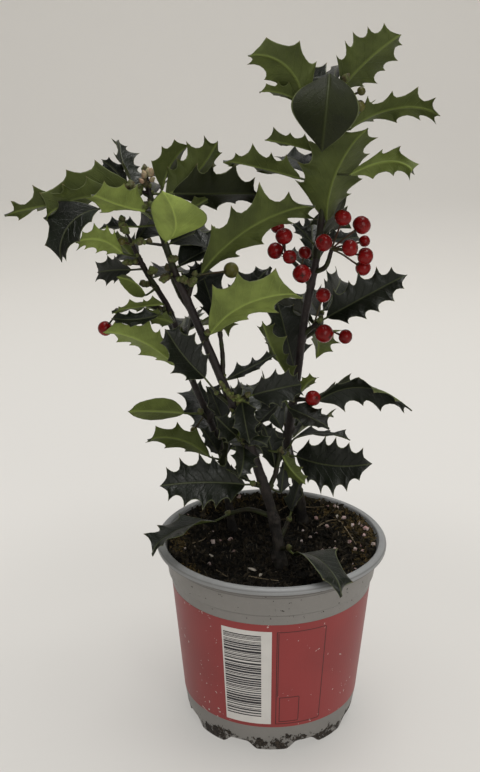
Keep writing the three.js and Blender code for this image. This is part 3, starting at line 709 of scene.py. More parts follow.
def tube_tree():
    """Round tubes along a mesh's edges, as thick as the attribute "thick" says."""
    graph, start = rule_tree("round along the line", ("Sides", "Int", 8))
    line = graph.node("GeometryNodeMeshToCurve", {}, {"Mesh": start})
    ring = graph.node("GeometryNodeCurvePrimitiveCircle", {},
                      {"Resolution": start.out("Sides"), "Radius": 1.0})
    tube = graph.node("GeometryNodeCurveToMesh", {}, {
        "Curve": line, "Profile Curve": ring, "Scale": graph.named("thick"), "Fill Caps": True})
    return close_tree(graph, start, graph.node("GeometryNodeSetShadeSmooth", {}, {"Geometry": tube}))


def cluster_tree():
    """A form at every point of a mesh, along the attribute "way" and as big as "size"."""
    graph, start = rule_tree("form at each point", ("Form", "Object", None), ("Seed", "Int", 1))
    spin = graph.chance(0.0, 2 * math.pi, start.out("Seed"))
    turn = graph.node("ShaderNodeCombineXYZ", {}, {"Z": spin})
    aligned = graph.node("FunctionNodeAlignRotationToVector", {"axis": "Z"},
                         {"Rotation": turn, "Vector": graph.named("way", "FLOAT_VECTOR")})
    return close_with_forms(graph, start, start, aligned, graph.named("size"))


def strewn_tree():
    """A form strewn over a surface where the attribute "room" allows, turned and sized at random."""
    graph, start = rule_tree(
        "strewn over the surface", ("Form", "Object", None), ("Density", "Float", 1000.0),
        ("Smallest", "Float", 0.5), ("Largest", "Float", 1.5), ("Upright", "Float", 0.0), ("Seed", "Int", 1))
    seed = start.out("Seed")
    spots = graph.node("GeometryNodeDistributePointsOnFaces", {"distribute_method": "RANDOM"}, {
        "Mesh": start, "Density": start.out("Density") * graph.named("room"), "Seed": seed})
    tumbled = graph.node("FunctionNodeRandomValue", {"data_type": "FLOAT_VECTOR"},
                         {0: (0.0, 0.0, 0.0), 1: (2 * math.pi,) * 3, "Seed": seed})
    free = 1.0 - start.out("Upright")
    rotation = graph.node("ShaderNodeVectorMath", {"operation": "MULTIPLY"}, {
        0: tumbled, 1: graph.node("ShaderNodeCombineXYZ", {}, {"X": free, "Y": free, "Z": 1.0})})
    size = graph.chance(start.out("Smallest"), start.out("Largest"), seed + 7.0)
    return close_with_forms(graph, start, spots, rotation, size)


def wrapped_tree():
    """A flat print laid round the pot's wall: x is the angle, y the height off the wall, z the height."""
    graph, start = rule_tree("print round the wall", ("Low radius", "Float", 0.05),
                             ("Low height", "Float", 0.0), ("Slope", "Float", 0.1))
    angle = graph.node("ShaderNodeSeparateXYZ", {}, {0: graph.node("GeometryNodeInputPosition")})
    off, height = angle.out("Y"), angle.out("Z")
    radius = start.out("Low radius") + (height - start.out("Low height")) * start.out("Slope") + off
    place = graph.node("ShaderNodeCombineXYZ", {}, {
        "X": angle.cosine() * radius, "Y": angle.sine() * radius, "Z": height})
    return close_tree(graph, start, graph.node("GeometryNodeSetPosition", {}, {
        "Geometry": start, "Position": place}))


# -------- finishes


# Dark lines painted round the pot as shade at its moulded grooves and steps and under the lip: height and
# half width in m, and how dark each is.
GROOVE_SHADE_LINES = ((0.0911, 0.00025, 0.5), (0.1026, 0.0003, 0.5), (0.1059, 0.0008, 0.75), (0.1088, 0.0002, 0.4))


def pot_plastic(pot):
    """Satin grey plastic: faint rings from the mould, dust, soil splashed on the foot, a painted highlight on
    the lip and painted shade lines.
    """
    def paint(g, where):
        height = g.height(where)
        broad = g.noise(where, 34.0, 3.0)
        fine = g.noise(where, 900.0, 2.0, 0.6)
        dust = g.noise(where, 210.0, 4.0, 0.65)
        splash = g.noise(g.stretched(where, 1, 1, 0.7), 260.0, 5.0, 0.7)
        patch = g.noise(where, 75.0, 2.0)
        low = height.between(0.0165, 0.004)
        dirt = (splash + patch * 0.4 + low * 0.3).between(0.945, 0.98)
        neck = height.between(0.109, 0.104) * height.between(0.084, 0.09)
        grime = (dirt + g.noise(where, 520.0, 2.0, 0.5).between(0.7, 0.72) * neck).least(1.0)
        # From the lip's lower edge up, the plastic takes a lighter, cooler grey: a painted highlight where
        # the rolled lip catches the light.
        body = g.mixed(height.between(0.1066, 0.1072), pot.wall_colour, pot.lip_highlight_colour)
        # light is a painted highlight line along a ridge below the lip, half way to the lip's highlight
        # colour.
        lines, light = 0.0, height.inside(0.1045, 0.1048, 0.0003)
        # Each groove adds a dark line of painted shade, as dark as its share says.
        for z, half, depth in GROOVE_SHADE_LINES:
            lines = height.inside(z - half, z + half, 0.0003) * depth + lines
        body = g.mixed(light * 0.5, g.mixed(lines, body, tinted(pot.wall_colour, 0.2)), pot.lip_highlight_colour)
        dull = g.mixed(0.5, body, tinted(pot.wall_colour, 0.72))
        shaded = g.mixed((broad * 0.5 + dust * 0.25).between(0.2, 0.62), body, dull)
        powder = g.mixed(fine.between(0.58, 0.72) * 0.2, shaded, tinted(pot.wall_colour, 1.35))
        dark = g.shades(fine.between(0.42, 0.6), pot.dirt_colour, 0.35, 1.5)
        colour = g.mixed(grime, powder, dark)
        rings = (height * 5200.0).sine()
        relief = g.bumped(fine * 0.4 + rings * 0.05 + grime * 1.6, 0.00018, 0.6)
        return colour, grime * 0.35 + dust * 0.16 + 0.38, relief
    return finish_material("grey nursery plastic", 0.42, paint)


def band_print(pot):
    """The red printed band: thin ink that has worn to pale specks along its edges."""
    def paint(g, where):
        height = g.height(where)
        broad = g.noise(where, 26.0, 3.0)
        fine = g.noise(where, 1300.0, 2.0, 0.6)
        scuff = g.noise(where, 420.0, 3.0, 0.6)
        patch = g.noise(where, 42.0, 1.0).between(0.56, 0.66)
        edge = (height.between(0.024, 0.0175) + height.between(0.0775, 0.0845) * 0.8).least(1.0)
        worn = (scuff + edge * 0.05 + patch * 0.06).between(0.715, 0.75)
        ink = g.shades(broad.between(0.3, 0.7), pot.band_colour, 0.93, 1.08)
        ink = g.mixed(fine.between(0.45, 0.75) * 0.25, ink, tinted(pot.band_colour, 1.3))
        colour = g.mixed(worn, ink, (0.62, 0.55, 0.52))
        relief = g.bumped(fine * 0.3 + worn, 0.00008, 0.5)
        return colour, worn * 0.3 + fine * 0.12 + 0.36, relief
    return finish_material("red printed ink", 0.4, paint)


def thin_print(name, colour, pot):
    """One flat ink of the panel and frames, a little uneven where it didn't take."""
    def paint(g, where):
        fine = g.noise(where, 1500.0, 3.0, 0.65)
        broad = g.noise(where, 90.0, 2.0)
        shade = g.mixed(broad.between(0.3, 0.7) * 0.5, colour, tinted(colour, 0.86))
        missed = g.mixed(fine.between(0.66, 0.7) * 0.6, shade, g.mixed(0.5, colour, pot.band_colour))
        return missed, fine * 0.2 + 0.36, g.bumped(fine, 0.00005, 0.4)
    return finish_material(name, 0.4, paint)


def compost(soil):
    """Damp peat: nearly black, with browner crumbs and fibres that catch a little light."""
    def paint(g, where):
        coarse = g.noise(where, 160.0, 5.0, 0.65)
        fine = g.noise(where, 900.0, 4.0, 0.7)
        cell = g.cells(where, 620.0)
        fibre = g.noise(g.stretched(where, 1, 0.12, 1), 900.0, 3.0, 0.6)
        dark = g.shades(coarse.between(0.35, 0.65), soil.colour, 0.55, 1.35)
        brown = g.mixed(fine.between(0.58, 0.7) * 0.8, dark, soil.crumb_colour)
        colour = g.mixed(fibre.between(0.66, 0.72) * 0.4, brown, tinted(soil.crumb_colour, 1.8))
        relief = g.bumped(coarse * 1.5 + fine + cell * 0.7, 0.0012, 0.9)
        return colour, fine * 0.3 + 0.62, relief
    return finish_material("damp compost", 0.12, paint)


def crumb_finish(name, colour, other):
    """Loose bits: each takes its own shade from where it lies."""
    def paint(g, where):
        own = g.noise(where, 260.0, 1.0)
        grain = g.noise(where, 2400.0, 3.0, 0.65)
        shade = g.mixed(own.between(0.36, 0.64), colour, other)
        aged = g.mixed(grain.between(0.5, 0.72) * 0.6, shade, tinted(colour, 0.5))
        return aged, grain * 0.2 + 0.7, g.bumped(grain, 0.0002, 0.8)
    return finish_material(name, 0.15, paint)


def stem_bark(bark):
    """Holly bark: grey-brown and cracked low down, smooth and purple-brown above, with lenticels."""
    def paint(g, where):
        height = g.height(where)
        along = g.stretched(where, 1, 1, 0.22)
        age = (height + g.noise(where, 40.0, 2.0) * 0.05).between(0.215, 0.135)
        cracks = g.noise(along, 700.0, 5.0, 0.68)
        patches = g.noise(where, 150.0, 4.0, 0.6)
        fine = g.noise(where, 2200.0, 3.0, 0.6)
        pore = g.cells(g.stretched(where, 1, 1, 0.7), 520.0).between(0.2, 0.13)
        young = g.shades(patches.between(0.35, 0.68), bark.young_colour, 0.7, 1.35)
        old = g.shades(patches.between(0.4, 0.62), bark.old_colour, 0.5, 2.1)
        # Darker down in the cracks: partly the old bark's own darker colour there, partly painted shade in
        # the hollows.
        old = g.mixed(cracks.between(0.46, 0.36) * 0.75, old, tinted(bark.old_colour, 0.3))
        both = g.mixed(age, young, old)
        green = g.noise(where, 95.0, 3.0, 0.6).between(0.58, 0.72) * age
        mossy = g.mixed(green * 0.5, both, (0.045, 0.05, 0.02))
        scar = g.attribute("scar")
        marked = g.mixed(scar * 0.75, mossy, tinted(bark.old_colour, 2.6))
        colour = g.mixed(pore * 0.55, marked, tinted(bark.old_colour, 2.4))
        relief = g.bumped(cracks * age * 2.2 + fine * 0.35 + pore * 0.5 + patches * 0.8, 0.0006, 0.85)
        return colour, age * 0.26 + fine * 0.14 + 0.44, relief
    return finish_material("stem bark", 0.36, paint)


def young_bark(name, colour, other, rough=0.5):
    """The skin of shoots and stalks: smooth, in two shades, with small pale pores."""
    def paint(g, where):
        broad = g.noise(where, 120.0, 2.0)
        fine = g.noise(where, 1700.0, 3.0, 0.6)
        dots = g.cells(where, 900.0)
        skin = g.mixed(broad.between(0.35, 0.65), colour, other)
        marked = g.mixed(dots.between(0.16, 0.09) * 0.5, skin, tinted(other, 2.2))
        return marked, fine * 0.2 + rough - 0.1, g.bumped(fine, 0.00016, 0.6)
    return finish_material(name, 0.25, paint)


# How strongly a leaf of each tone, from dark to bright, takes the leaf colours. The tone is partly the
# leaf's age, from old to young, and partly painted shade and light: a leaf in shade is set darker, a lit one
# brighter.
LEAF_TONES = (0.06, 0.31, 0.5, 0.85, 1.2)


def leaf_face(leaves, age, upper):
    """One side of a leaf of one tone, with its midrib, side veins, thin pale margin and spines.
    The tone is partly the leaf's age and partly painted shade and light.

    "across" and "along" are mm from the midrib and from the stalk, and "thorn" is 1 at a spine.
    """
    share = LEAF_TONES[age]
    base = tinted(leaves.upper_colour, 0.5 + 0.5 * share) if upper else tinted(leaves.under_colour, share)

    def paint(g, where):
        across, along = g.attribute("across"), g.attribute("along")
        edge, thorn = g.attribute("edge"), g.attribute("thorn")
        out = abs(across)
        rib = out.between(0.62 if upper else 1.15, 0.25) * edge.between(0.8, 0.3)
        wander = g.noise(where, 190.0, 1.0) * 0.5
        beat = along * 0.2 - out * 0.16 + wander
        vein = abs(beat.fraction() - 0.5).between(0.07, 0.0) * out.between(0.3, 1.2) * edge.between(0.98, 0.6)
        web = g.cells(where, 520.0, "DISTANCE_TO_EDGE").between(0.09, 0.0)
        broad = g.noise(where, 62.0, 3.0, 0.55)
        fine = g.noise(where, 1900.0, 2.0, 0.6)
        blotch = g.noise(where, 240.0, 3.0, 0.6)
        margin = edge.between(0.945, 0.98)
        if upper:
            skin = g.shades(broad.between(0.34, 0.66), base, 0.75, 1.3)
            skin = g.mixed(blotch.between(0.55, 0.75) * 0.3, skin, tinted(base, 1.6))
            veined = g.mixed(vein * 0.2 + web * 0.05, skin, tinted(base, 2.2))
            ribbed = g.mixed(rib * 0.6, veined, tinted(leaves.rib_colour, 0.38))
            height = fine * 0.12 - vein * 0.7 - rib * 0.9 - web * 0.2 + blotch * 0.9
            rough = broad * 0.14 + fine * 0.1 + rib * 0.12 + leaves.gloss
        else:
            skin = g.shades(broad.between(0.32, 0.68), base, 0.72, 1.22)
            skin = g.mixed(blotch.between(0.5, 0.75) * 0.3, skin, tinted(base, 0.72))
            veined = g.mixed(vein * 0.28 + web * 0.1, skin, tinted(base, 1.45))
            ribbed = g.mixed(rib * 0.7, veined, tinted(base, 2.7 - 1.2 * share))
            height = fine * 0.2 + vein * 0.9 + rib * 0.8 + web * 0.25 + blotch * 0.4
            rough = fine * 0.14 + broad * 0.1 + 0.46
        edged = g.mixed(margin * 0.65, ribbed, tinted(leaves.rib_colour, 0.8))
        colour = g.mixed(thorn.between(0.45, 1.0) * 0.7, edged, leaves.thorn_colour)
        return colour, rough, g.bumped(height, 0.0005 if upper else 0.0003, 0.6)

    side = "upper" if upper else "under"
    return finish_material(f"leaf {side} side {age + 1}", 0.35 if upper else 0.2, paint)


def berry_skin(name, berries, ripe, rough):
    """A holly berry: glossy skin in two shades, with pale dots, and a dry brown scar at its end."""
    def paint(g, where):
        cap = g.attribute("cap")
        broad = g.noise(where, 130.0, 2.0)
        fine = g.noise(where, 1600.0, 3.0, 0.6)
        spots = g.cells(where, 700.0)
        skin = g.shades(broad.between(0.35, 0.65), ripe, 0.72, 1.2)
        dotted = g.mixed(spots.between(0.14, 0.08) * 0.25, skin, tinted(ripe, 1.8))
        colour = g.mixed(cap, dotted, berries.scar_colour)
        return colour, cap * 0.5 + fine * 0.1 + rough, g.bumped(fine * 0.5 + broad, 0.00025, 0.35)
    return finish_material(name, 0.2, paint, Coat_Weight=0.05, Coat_Roughness=0.08)


def bud_scales(name, colour, other):
    """Bud scales: darker along the seams between them."""
    def paint(g, where):
        seam = g.attribute("seam")
        fine = g.noise(where, 1500.0, 3.0, 0.6)
        broad = g.noise(where, 300.0, 2.0)
        skin = g.mixed(broad.between(0.35, 0.65), colour, other)
        edged = g.mixed(seam * 0.6, skin, tinted(colour, 0.4))
        return edged, fine * 0.2 + 0.5, g.bumped(fine - seam, 0.0002, 0.6)
    return finish_material(name, 0.35, paint)


def paper(studio):
    """Plain pale paper with the faintest grain, which glows round the pot to thin its shadow."""
    def paint(g, where):
        grain = g.noise(where, 700.0, 2.0)
        soft = g.noise(where, 1.3, 1.0)
        colour = g.mixed(soft.between(0.3, 0.7), tinted(studio.floor_colour, 0.985), studio.floor_colour)
        far = g.node("ShaderNodeVectorMath", {"operation": "LENGTH"}, {0: where}, out=1)
        glow = far.between(1.3, 0.35) * studio.floor_glow
        own = g.mixed(far.between(0.18, 0.36), tinted(studio.floor_colour, 0.86), studio.floor_colour)
        black = (0.0, 0.0, 0.0)
        return g.mixed(glow, colour, black), grain * 0.05 + 0.85, None, g.mixed(glow, black, own)
    return finish_material("pale paper", 0.1, paint, Emission_Strength=1.0)

# -------- pot and print


def wall_radius(height):
    """The outer radius of the straight printed wall at a height."""
    share = (height - POT.band_low) / (POT.ledge - POT.band_low)
    return POT.band_low_radius + share * (POT.belly - POT.band_low_radius)


def inner_radius(height):
    """The radius inside the neck's wall."""
    low, high = POT.ledge + 1, POT.height - POT.lip_drop
    share = (height - low) / (high - low)
    return POT.belly + 0.2 + share * (POT.neck - POT.wall - POT.belly - 0.2)


def pot_section(notch):
    """The pot's section as radius and height, from the middle of the underside out, up and back in."""
    p = POT
    wall = p.wall
    floor = p.notch + wall + 0.6
    slope = (p.belly - p.band_low_radius) / (p.ledge - p.band_low)
    under_lip = p.height - p.lip_drop
    outside = [
        (0, 0), (p.pad_radius, 0), (p.channel_in, p.notch), (p.channel_out, p.notch),
        (p.channel_out + 2, notch), (p.foot, notch), (p.foot + 1.6, 7),
        (p.band_low_radius, p.band_low), (p.belly, p.ledge), (p.belly + 1.4, p.ledge + 0.8),
        (60.0, 102.0), (60.55, 102.5), (60.6, 103.2), (p.neck, under_lip - 1), (p.rim - 1.2, under_lip),
        (p.rim, under_lip + 1.2), (p.rim, p.height - 1.6), (p.rim - 1.4, p.height),
    ]
    inside = [
        (p.lip_top, p.height), (p.neck - wall, under_lip), (p.belly + 0.2, p.ledge + 1),
        (p.belly - wall, p.ledge - 1.5), (p.band_low_radius - wall, p.band_low),
        (p.band_low_radius - wall - slope * 8, 9.5), (p.foot - wall - 0.6, floor),
        (p.channel_in - 1, floor), (p.pad_radius - 2, wall), (0, wall),
    ]
    return softened(outside + inside, 0.7)


def notch_at(turn):
    """The height of the foot's underside round the pot: a notch under the wall between two lobes."""
    pitch = 2 * math.pi / POT.lobes
    away = abs(turn % pitch - pitch / 2) / math.radians(1)
    return POT.notch * float(smoothstep(13, 5, away))


def make_pot(pot):
    """The pot's shell, turned from its section, with its drain holes bored."""
    sides = 176
    turns = [2 * math.pi * k / sides for k in range(sides)]
    sections = [pot_section(notch_at(turn)) for turn in turns]
    rings = len(sections[0]) - 2
    points = [(0, 0, 0), (0, 0, POT.wall)]
    for row in range(1, rings + 1):
        for turn, section in zip(turns, sections):
            radius, height = section[row]
            points.append((radius * math.cos(turn), radius * math.sin(turn), height))
    shell = build_mesh("pot_shell", points, poled_faces(rings, sides, 2, 0, 1), [pot_plastic(pot)])
    facets, ends = 28, (-3, 14)
    holes, drills = [], []
    for lobe in range(POT.lobes):
        turn = 2 * math.pi * (lobe + 0.5) / POT.lobes
        x, y = POT.drain_radius * math.cos(turn), POT.drain_radius * math.sin(turn)
        drills += [tuple(len(holes) + i for i in face) for face in ring_faces(2, facets)]
        for height in ends:
            for k in range(facets):
                a, radius = 2 * math.pi * k / facets, POT.drain_hole
                holes.append((x + radius * math.cos(a), y + radius * math.sin(a), height))
    drill = build_mesh("pot_drill", holes, drills)
    cut = shell.modifiers.new("drain holes", "BOOLEAN")
    cut.object, cut.operation, cut.solver = drill, "DIFFERENCE", "EXACT"
    mesh = evaluated_mesh("pot_shell", shell)
    shell.modifiers.remove(cut)
    shell.data = mesh
    bpy.data.objects.remove(drill)
    dress(shell, "pot", "pot")


def flat_box(points, faces, turns, heights, low, high):
    """Adds a thin print, from one angle and height to another, cut each 2 degrees to bend round."""
    columns = max(1, math.ceil(abs(turns[1] - turns[0]) / math.radians(2)))
    whole = abs(turns[1] - turns[0]) > 2 * math.pi - 1e-6
    angles = np.linspace(turns[0], turns[1], columns + 1)[: columns if whole else None]
    start = len(points)
    for a in angles:
        points += [(a, low, heights[0]), (a, high, heights[0]), (a, high, heights[1]), (a, low, heights[1])]
    for i in range(columns):
        a, b = start + 4 * i, start + 4 * ((i + 1) % len(angles))
        for k in range(4):
            n = (k + 1) % 4
            faces.append((a + k, b + k, b + n, a + n))
    if not whole:
        end = start + 4 * columns
        faces.append((start, start + 1, start + 2, start + 3))
        faces.append((end + 3, end + 2, end + 1, end))


def make_print(pot):
    """The band, the pale panel with its plain stripes, and the thin empty frames beside it."""
    wrap = wrapped_tree()
    slope = (POT.belly - POT.band_low_radius) / (POT.ledge - POT.band_low)

    def wrapped(name, boxes, material):
        points, faces = [], []
        for box in boxes:
            flat_box(points, faces, *box)
        flat = build_mesh(name + "_flat", [(a / MM, out, z) for a, out, z in points], faces, smooth=False)
        dress(grown(name, flat, wrap, {
            "Low radius": POT.band_low_radius * MM, "Low height": POT.band_low * MM,
            "Slope": slope, "Material": material}), "pot")

    deg = math.radians
    wrapped("pot_band", [((-math.pi, math.pi), (17.2, 84.8), -0.1, 0.07)], band_print(pot))
    left, right = deg(-119.6), deg(-90.9)
    wrapped("pot_panel", [((left, right), (19.4, 80.5), 0.0, 0.13)],
            thin_print("pale panel ink", pot.panel_colour, pot))
    stripes = []
    height, widths = 77.6, stream(41)
    while height > 24.5:
        thick = 0.35 + 1.1 * next(widths) ** 2.2
        stripes.append(((deg(-118.6), deg(-96.8)), (height - thick, height), 0.05, 0.18))
        height -= thick + 0.35 + 0.75 * next(widths) ** 1.6
    wrapped("pot_stripes", stripes, thin_print("dark stripe ink", pot.stripe_colour, pot))
    line = 0.42
    thin = line / wall_radius(50)
    frames = []
    for a, b, low, high in ((-88.2, -59.8, 19.3, 80.3), (-86.1, -74.2, 20.8, 37.4)):
        frames += [((deg(a), deg(b)), (low, low + line), 0.0, 0.12),
                   ((deg(a), deg(b)), (high - line, high), 0.0, 0.12)]
        frames += [((deg(t), deg(t) + thin), (low + line, high - line), 0.0, 0.12) for t in (a, b)]
    frames.append(((deg(-87.3), deg(-87.3) + thin), (38.0, 79.2), 0.0, 0.12))
    wrapped("pot_frames", frames, thin_print("dark red line ink", pot.line_colour, pot))


# -------- compost

# Dry straws as a line and a radius, and single pale husks and stones, by their places on the compost.
STRAWS = (
    ([(27.9, 27.2), (34.5, 28.6), (40.2, 25.9), (43.7, 17.8), (46.5, 4.8), (48.1, -2.7)], 0.42),
    ([(-13, -30), (-5, -35), (3, -37)], 0.3),
    ([(-45, 4), (-39, 12), (-35, 22)], 0.3),
    ([(5, 44), (13, 47), (24, 44), (33, 41)], 0.34),
    ([(30, -24), (38, -17), (41, -12)], 0.28),
    ([(-31, -24), (-24, -32)], 0.32),
)
HUSKS = ((-11, -23, 1.7), (-6.5, -28, 1.4), (2.5, -26, 1.5), (26, -14, 1.0), (-34, -8, 1.2), (40, 30, 1.3))
STONES = ((53, 1, 1.6), (54.5, 8, 1.9), (18, 14, 1.2), (36.5, 1, 1.4), (27, 19, 1.0), (19.5, 26, 1.1),
          (48, 18, 1.5), (44, 28, 1.7), (51, -6, 1.2), (-34, 22, 1.3), (12, 50, 1.4), (35, 40, 1.2))


def soil_rise(x, y):
    """The compost's height over the stems' ground: banked up to the lip, most at the back."""
    out = np.hypot(x, y) / SOIL.edge
    bank = np.maximum(0, out - SOIL.flat) / (1 - SOIL.flat)
    back = 0.5 + 0.5 * y / SOIL.edge
    ripple = SOIL.ripple * np.sin(x / 7) * np.cos(y / 9)
    side = SOIL.bank_side * smoothstep(0.3, 0.9, x / SOIL.edge)
    tall = SOIL.bank_front + (SOIL.bank_back - SOIL.bank_front) * back + side
    return bank**1.5 * tall + ripple - SOIL.dish


def soil_lumps(x, y):
    """How far the compost's lumps stand over its banked form."""
    flat = np.stack([x, y, np.zeros(np.shape(x))], -1)
    return 1.2 * lumps(flat, 6.5, 3) + 0.8 * lumps(flat, 3.0, 8) + 0.3 * lumps(flat, 1.6, 5)


def crumb_form(name, stretch, seed, rough=0.35):
    """A small lump that is strewn many times, so it has only a few dozen faces."""
    gold = (1 + 5**0.5) / 2
    corners = [(a, b * gold, 0) for a in (-1, 1) for b in (-1, 1)]
    corners += [(0, a, b * gold) for a in (-1, 1) for b in (-1, 1)]
    corners += [(b * gold, 0, a) for a in (-1, 1) for b in (-1, 1)]
    points = unit(np.array(corners, float))
    faces = [f for f in ((i, j, k) for i in range(12) for j in range(i + 1, 12) for k in range(j + 1, 12))
             if all(np.linalg.norm(points[a] - points[b]) < 1.06 for a, b in zip(f, (f[1], f[2], f[0])))]
    faces = [f if np.cross(points[f[1]] - points[f[0]], points[f[2]] - points[f[0]]) @ points[f[0]] > 0
             else f[::-1] for f in faces]
    bumpy = points * (1 + rough * lumps(points, 0.7, seed))[:, None] * np.array(stretch)
    return build_mesh(name, bumpy, faces, smooth=False)


def make_soil(soil):
    """The bed of compost and everything that lies or is strewn on it."""
    ground = GROUND - 0.3  # so that the stems' flares end in it
    sides, rings = 200, 76
    inset = POT.wall + SOIL.gap
    floor = POT.notch + POT.wall + 1.2
    points, faces = [], []
    turns = np.linspace(0, 2 * math.pi, sides, endpoint=False)
    circle = np.stack([np.cos(turns), np.sin(turns)], -1)
    for radius, height in ((POT.pad_radius - 3, POT.wall + 0.3), (POT.channel_in - 2, floor),
                           (POT.foot - 4, floor), (wall_radius(POT.band_low) - inset, POT.band_low),
                           (wall_radius(POT.ledge - 1.5) - inset, POT.ledge - 1.5),
                           (inner_radius(POT.ledge + 1) - SOIL.gap, POT.ledge + 2)):
        points += [(radius * x, radius * y, height) for x, y in circle]
    edge_rise = soil_rise(*(SOIL.edge * circle.T))
    edges = np.array([inner_radius(ground + rise) for rise in edge_rise]) - SOIL.gap
    rooms = [0.0] * len(points)
    mosses, pales = rooms[:], rooms[:]
    feet = [stem["line"][0] for stem in STEMS.values()]
    for share in np.linspace(1, 0, rings, endpoint=False):
        radius = edges * share
        x, y = radius * circle[:, 0], radius * circle[:, 1]
        flat = np.stack([x, y, np.zeros(sides)], -1)
        rise = soil_rise(x, y)
        rough = soil_lumps(x, y)
        calm = smoothstep(1.0, 0.97, share) if share < 1 else 0.35
        rise = rise + rough * (0.35 + 0.65 * calm)
        for fx, fy, _ in feet:
            near = np.exp(-((x - fx) ** 2 + (y - fy) ** 2) / 70)
            rise = rise * (1 - near) + near * (0.9 + 0.3 * rough)
        rise = np.minimum(rise, SOIL.highest)
        points += np.stack([x, y, ground + rise], -1).tolist()
        rooms += [1.0 if share < 0.985 else 0.0] * sides
        right = smoothstep(0.1, 0.7, x / SOIL.edge) * smoothstep(-0.7, 0.1, y / SOIL.edge)
        left = smoothstep(0.5, 0.9, -x / SOIL.edge)
        back = 0.7 * smoothstep(0.2, 0.6, y / SOIL.edge)
        clump = lumps(flat, 5, 12) > -0.25
        rim = np.maximum(np.maximum(right, left), back) * clump * (share < 0.985)
        mosses += (rim * smoothstep(0.8 - 0.1 * right, 0.94, share)).tolist()
        pales += ((0.12 + 0.6 * right) * (share < 0.985)).tolist()
    count = len(points) // sides
    middle = len(points)
    points += [(0, 0, ground + float(soil_rise(0, 0))), (0, 0, POT.wall + 0.3)]
    rooms += [1.0, 0.0]
    mosses += [0.0, 0.0]
    pales += [0.1, 0.0]
    faces = ring_faces(count, sides, caps=False)
    for k in range(sides):
        n = (k + 1) % sides
        faces.append((middle + 1, n, k))
        faces.append(((count - 1) * sides + k, (count - 1) * sides + n, middle))
    bed = build_mesh("soil_bed", points, faces, [compost(soil)], floats={"room": rooms})
    strew = strewn_tree()
    chip = crumb_form("chip_form", (1.9, 0.75, 0.35), 2)
    crumb = crumb_form("crumb_form", (1.0, 0.9, 0.75), 6)
    blade = crumb_form("moss_form", (0.22, 0.22, 1.0), 9, 0.2)
    fibre = crumb_form("fibre_form", (1.0, 0.1, 0.08), 14, 0.2)

    def strewn(name, form, density, small, large, seed, finish, colour, other, upright=0.0, where=rooms):
        """Strews a form, so many to a square centimetre, from a small to a large size in mm."""
        surface = build_mesh(name + "_seedbed", points, faces, floats={"room": where})
        dress(grown(name, surface, strew, {
            "Form": form, "Density": density * 1e4, "Smallest": small, "Largest": large, "Upright": upright,
            "Seed": seed, "Material": crumb_finish(finish, colour, other)}), "soil")

    strewn("soil_crumbs", crumb, 24 * soil.litter, 0.35, 1.35, 3, "peat crumbs",
           tinted(soil.colour, 0.9), soil.crumb_colour)
    strewn("soil_chips", chip, 9 * soil.litter, 0.6, 2.1, 5, "bark chips",
           tinted(soil.crumb_colour, 0.5), tinted(soil.crumb_colour, 2.0))
    strewn("soil_husks", chip, 0.8 * soil.litter, 0.4, 1.2, 11, "dry husks",
           (0.13, 0.105, 0.07), (0.3, 0.25, 0.19), 0.0, pales)
    strewn("soil_grains", crumb, 1.1 * soil.litter, 0.6, 2.1, 17, "pale mineral grains",
           (0.42, 0.35, 0.32), (0.33, 0.2, 0.19), 0.0, pales)
    strewn("soil_moss", blade, 150, 0.8, 2.8, 23, "dry moss",
           (0.095, 0.065, 0.025), (0.026, 0.023, 0.01), 0.7, mosses)
    strewn("soil_fibres", fibre, 3.2 * soil.litter, 1.0, 3.4, 29, "pale fibres",
           (0.11, 0.095, 0.07), (0.05, 0.042, 0.03))
    for form in (blade, fibre):
        bpy.data.objects.remove(form)
    dress(bed, "soil", "soil")

    def lying(x, y, above):
        x, y = np.array([[x], [y]], float)
        return np.array([x[0], y[0], ground + (soil_rise(x, y) + soil_lumps(x, y))[0] + above])

    straws = []
    for line, thick in STRAWS:
        path = Path([lying(x, y, 0.8) for x, y in line])
        straws.append([(path.at(t), thick * (1 - 0.4 * t)) for t in np.linspace(0, 1, 14)])
    make_tubes("soil_straws", straws, 7, young_bark("dry straw", (0.24, 0.19, 0.12), (0.13, 0.1, 0.06), 0.6),
               "soil", tube_tree())
    husks = [(lying(x, y, 0.6), (0, 0, 1), size) for x, y, size in HUSKS]
    make_cluster("soil_pale_husks", husks, chip, crumb_finish(
        "pale husks", (0.4, 0.36, 0.3), (0.55, 0.5, 0.44)), "soil", 3)
    stones = [(lying(x, y, 0.5), (0, 0, 1), size) for x, y, size in STONES]
    make_cluster("soil_stones", stones, crumb, crumb_finish(
        "pale stones", (0.55, 0.47, 0.45), (0.45, 0.25, 0.24)), "soil", 6)

# -------- stems


def stem_radius(stem, path):
    """The stem's radius by its share of the way: a root flare, then a slow taper."""
    flare = FLARE_HEIGHT / path.length

    def radius(share):
        if share < flare:
            return stem["low"] + (stem["foot"] - stem["low"]) * (1 - share / flare) ** 2
        return stem["low"] + (stem["end"] - stem["low"]) * (share - flare) / (1 - flare)
    return radius


def mound(away, reach, power=2):
    """1 at a spot, falling off with the distance from it."""
    return np.exp(-((away / reach) ** power))


# The pruned stubs of each stem: the share of the way up and the heading in degrees.
STUBS = {"front": ((0.16, -62), (0.045, -150)), "right": ((0.22, -70), (0.4, 20)),
         "back": ((0.25, -130), (0.5, -40))}


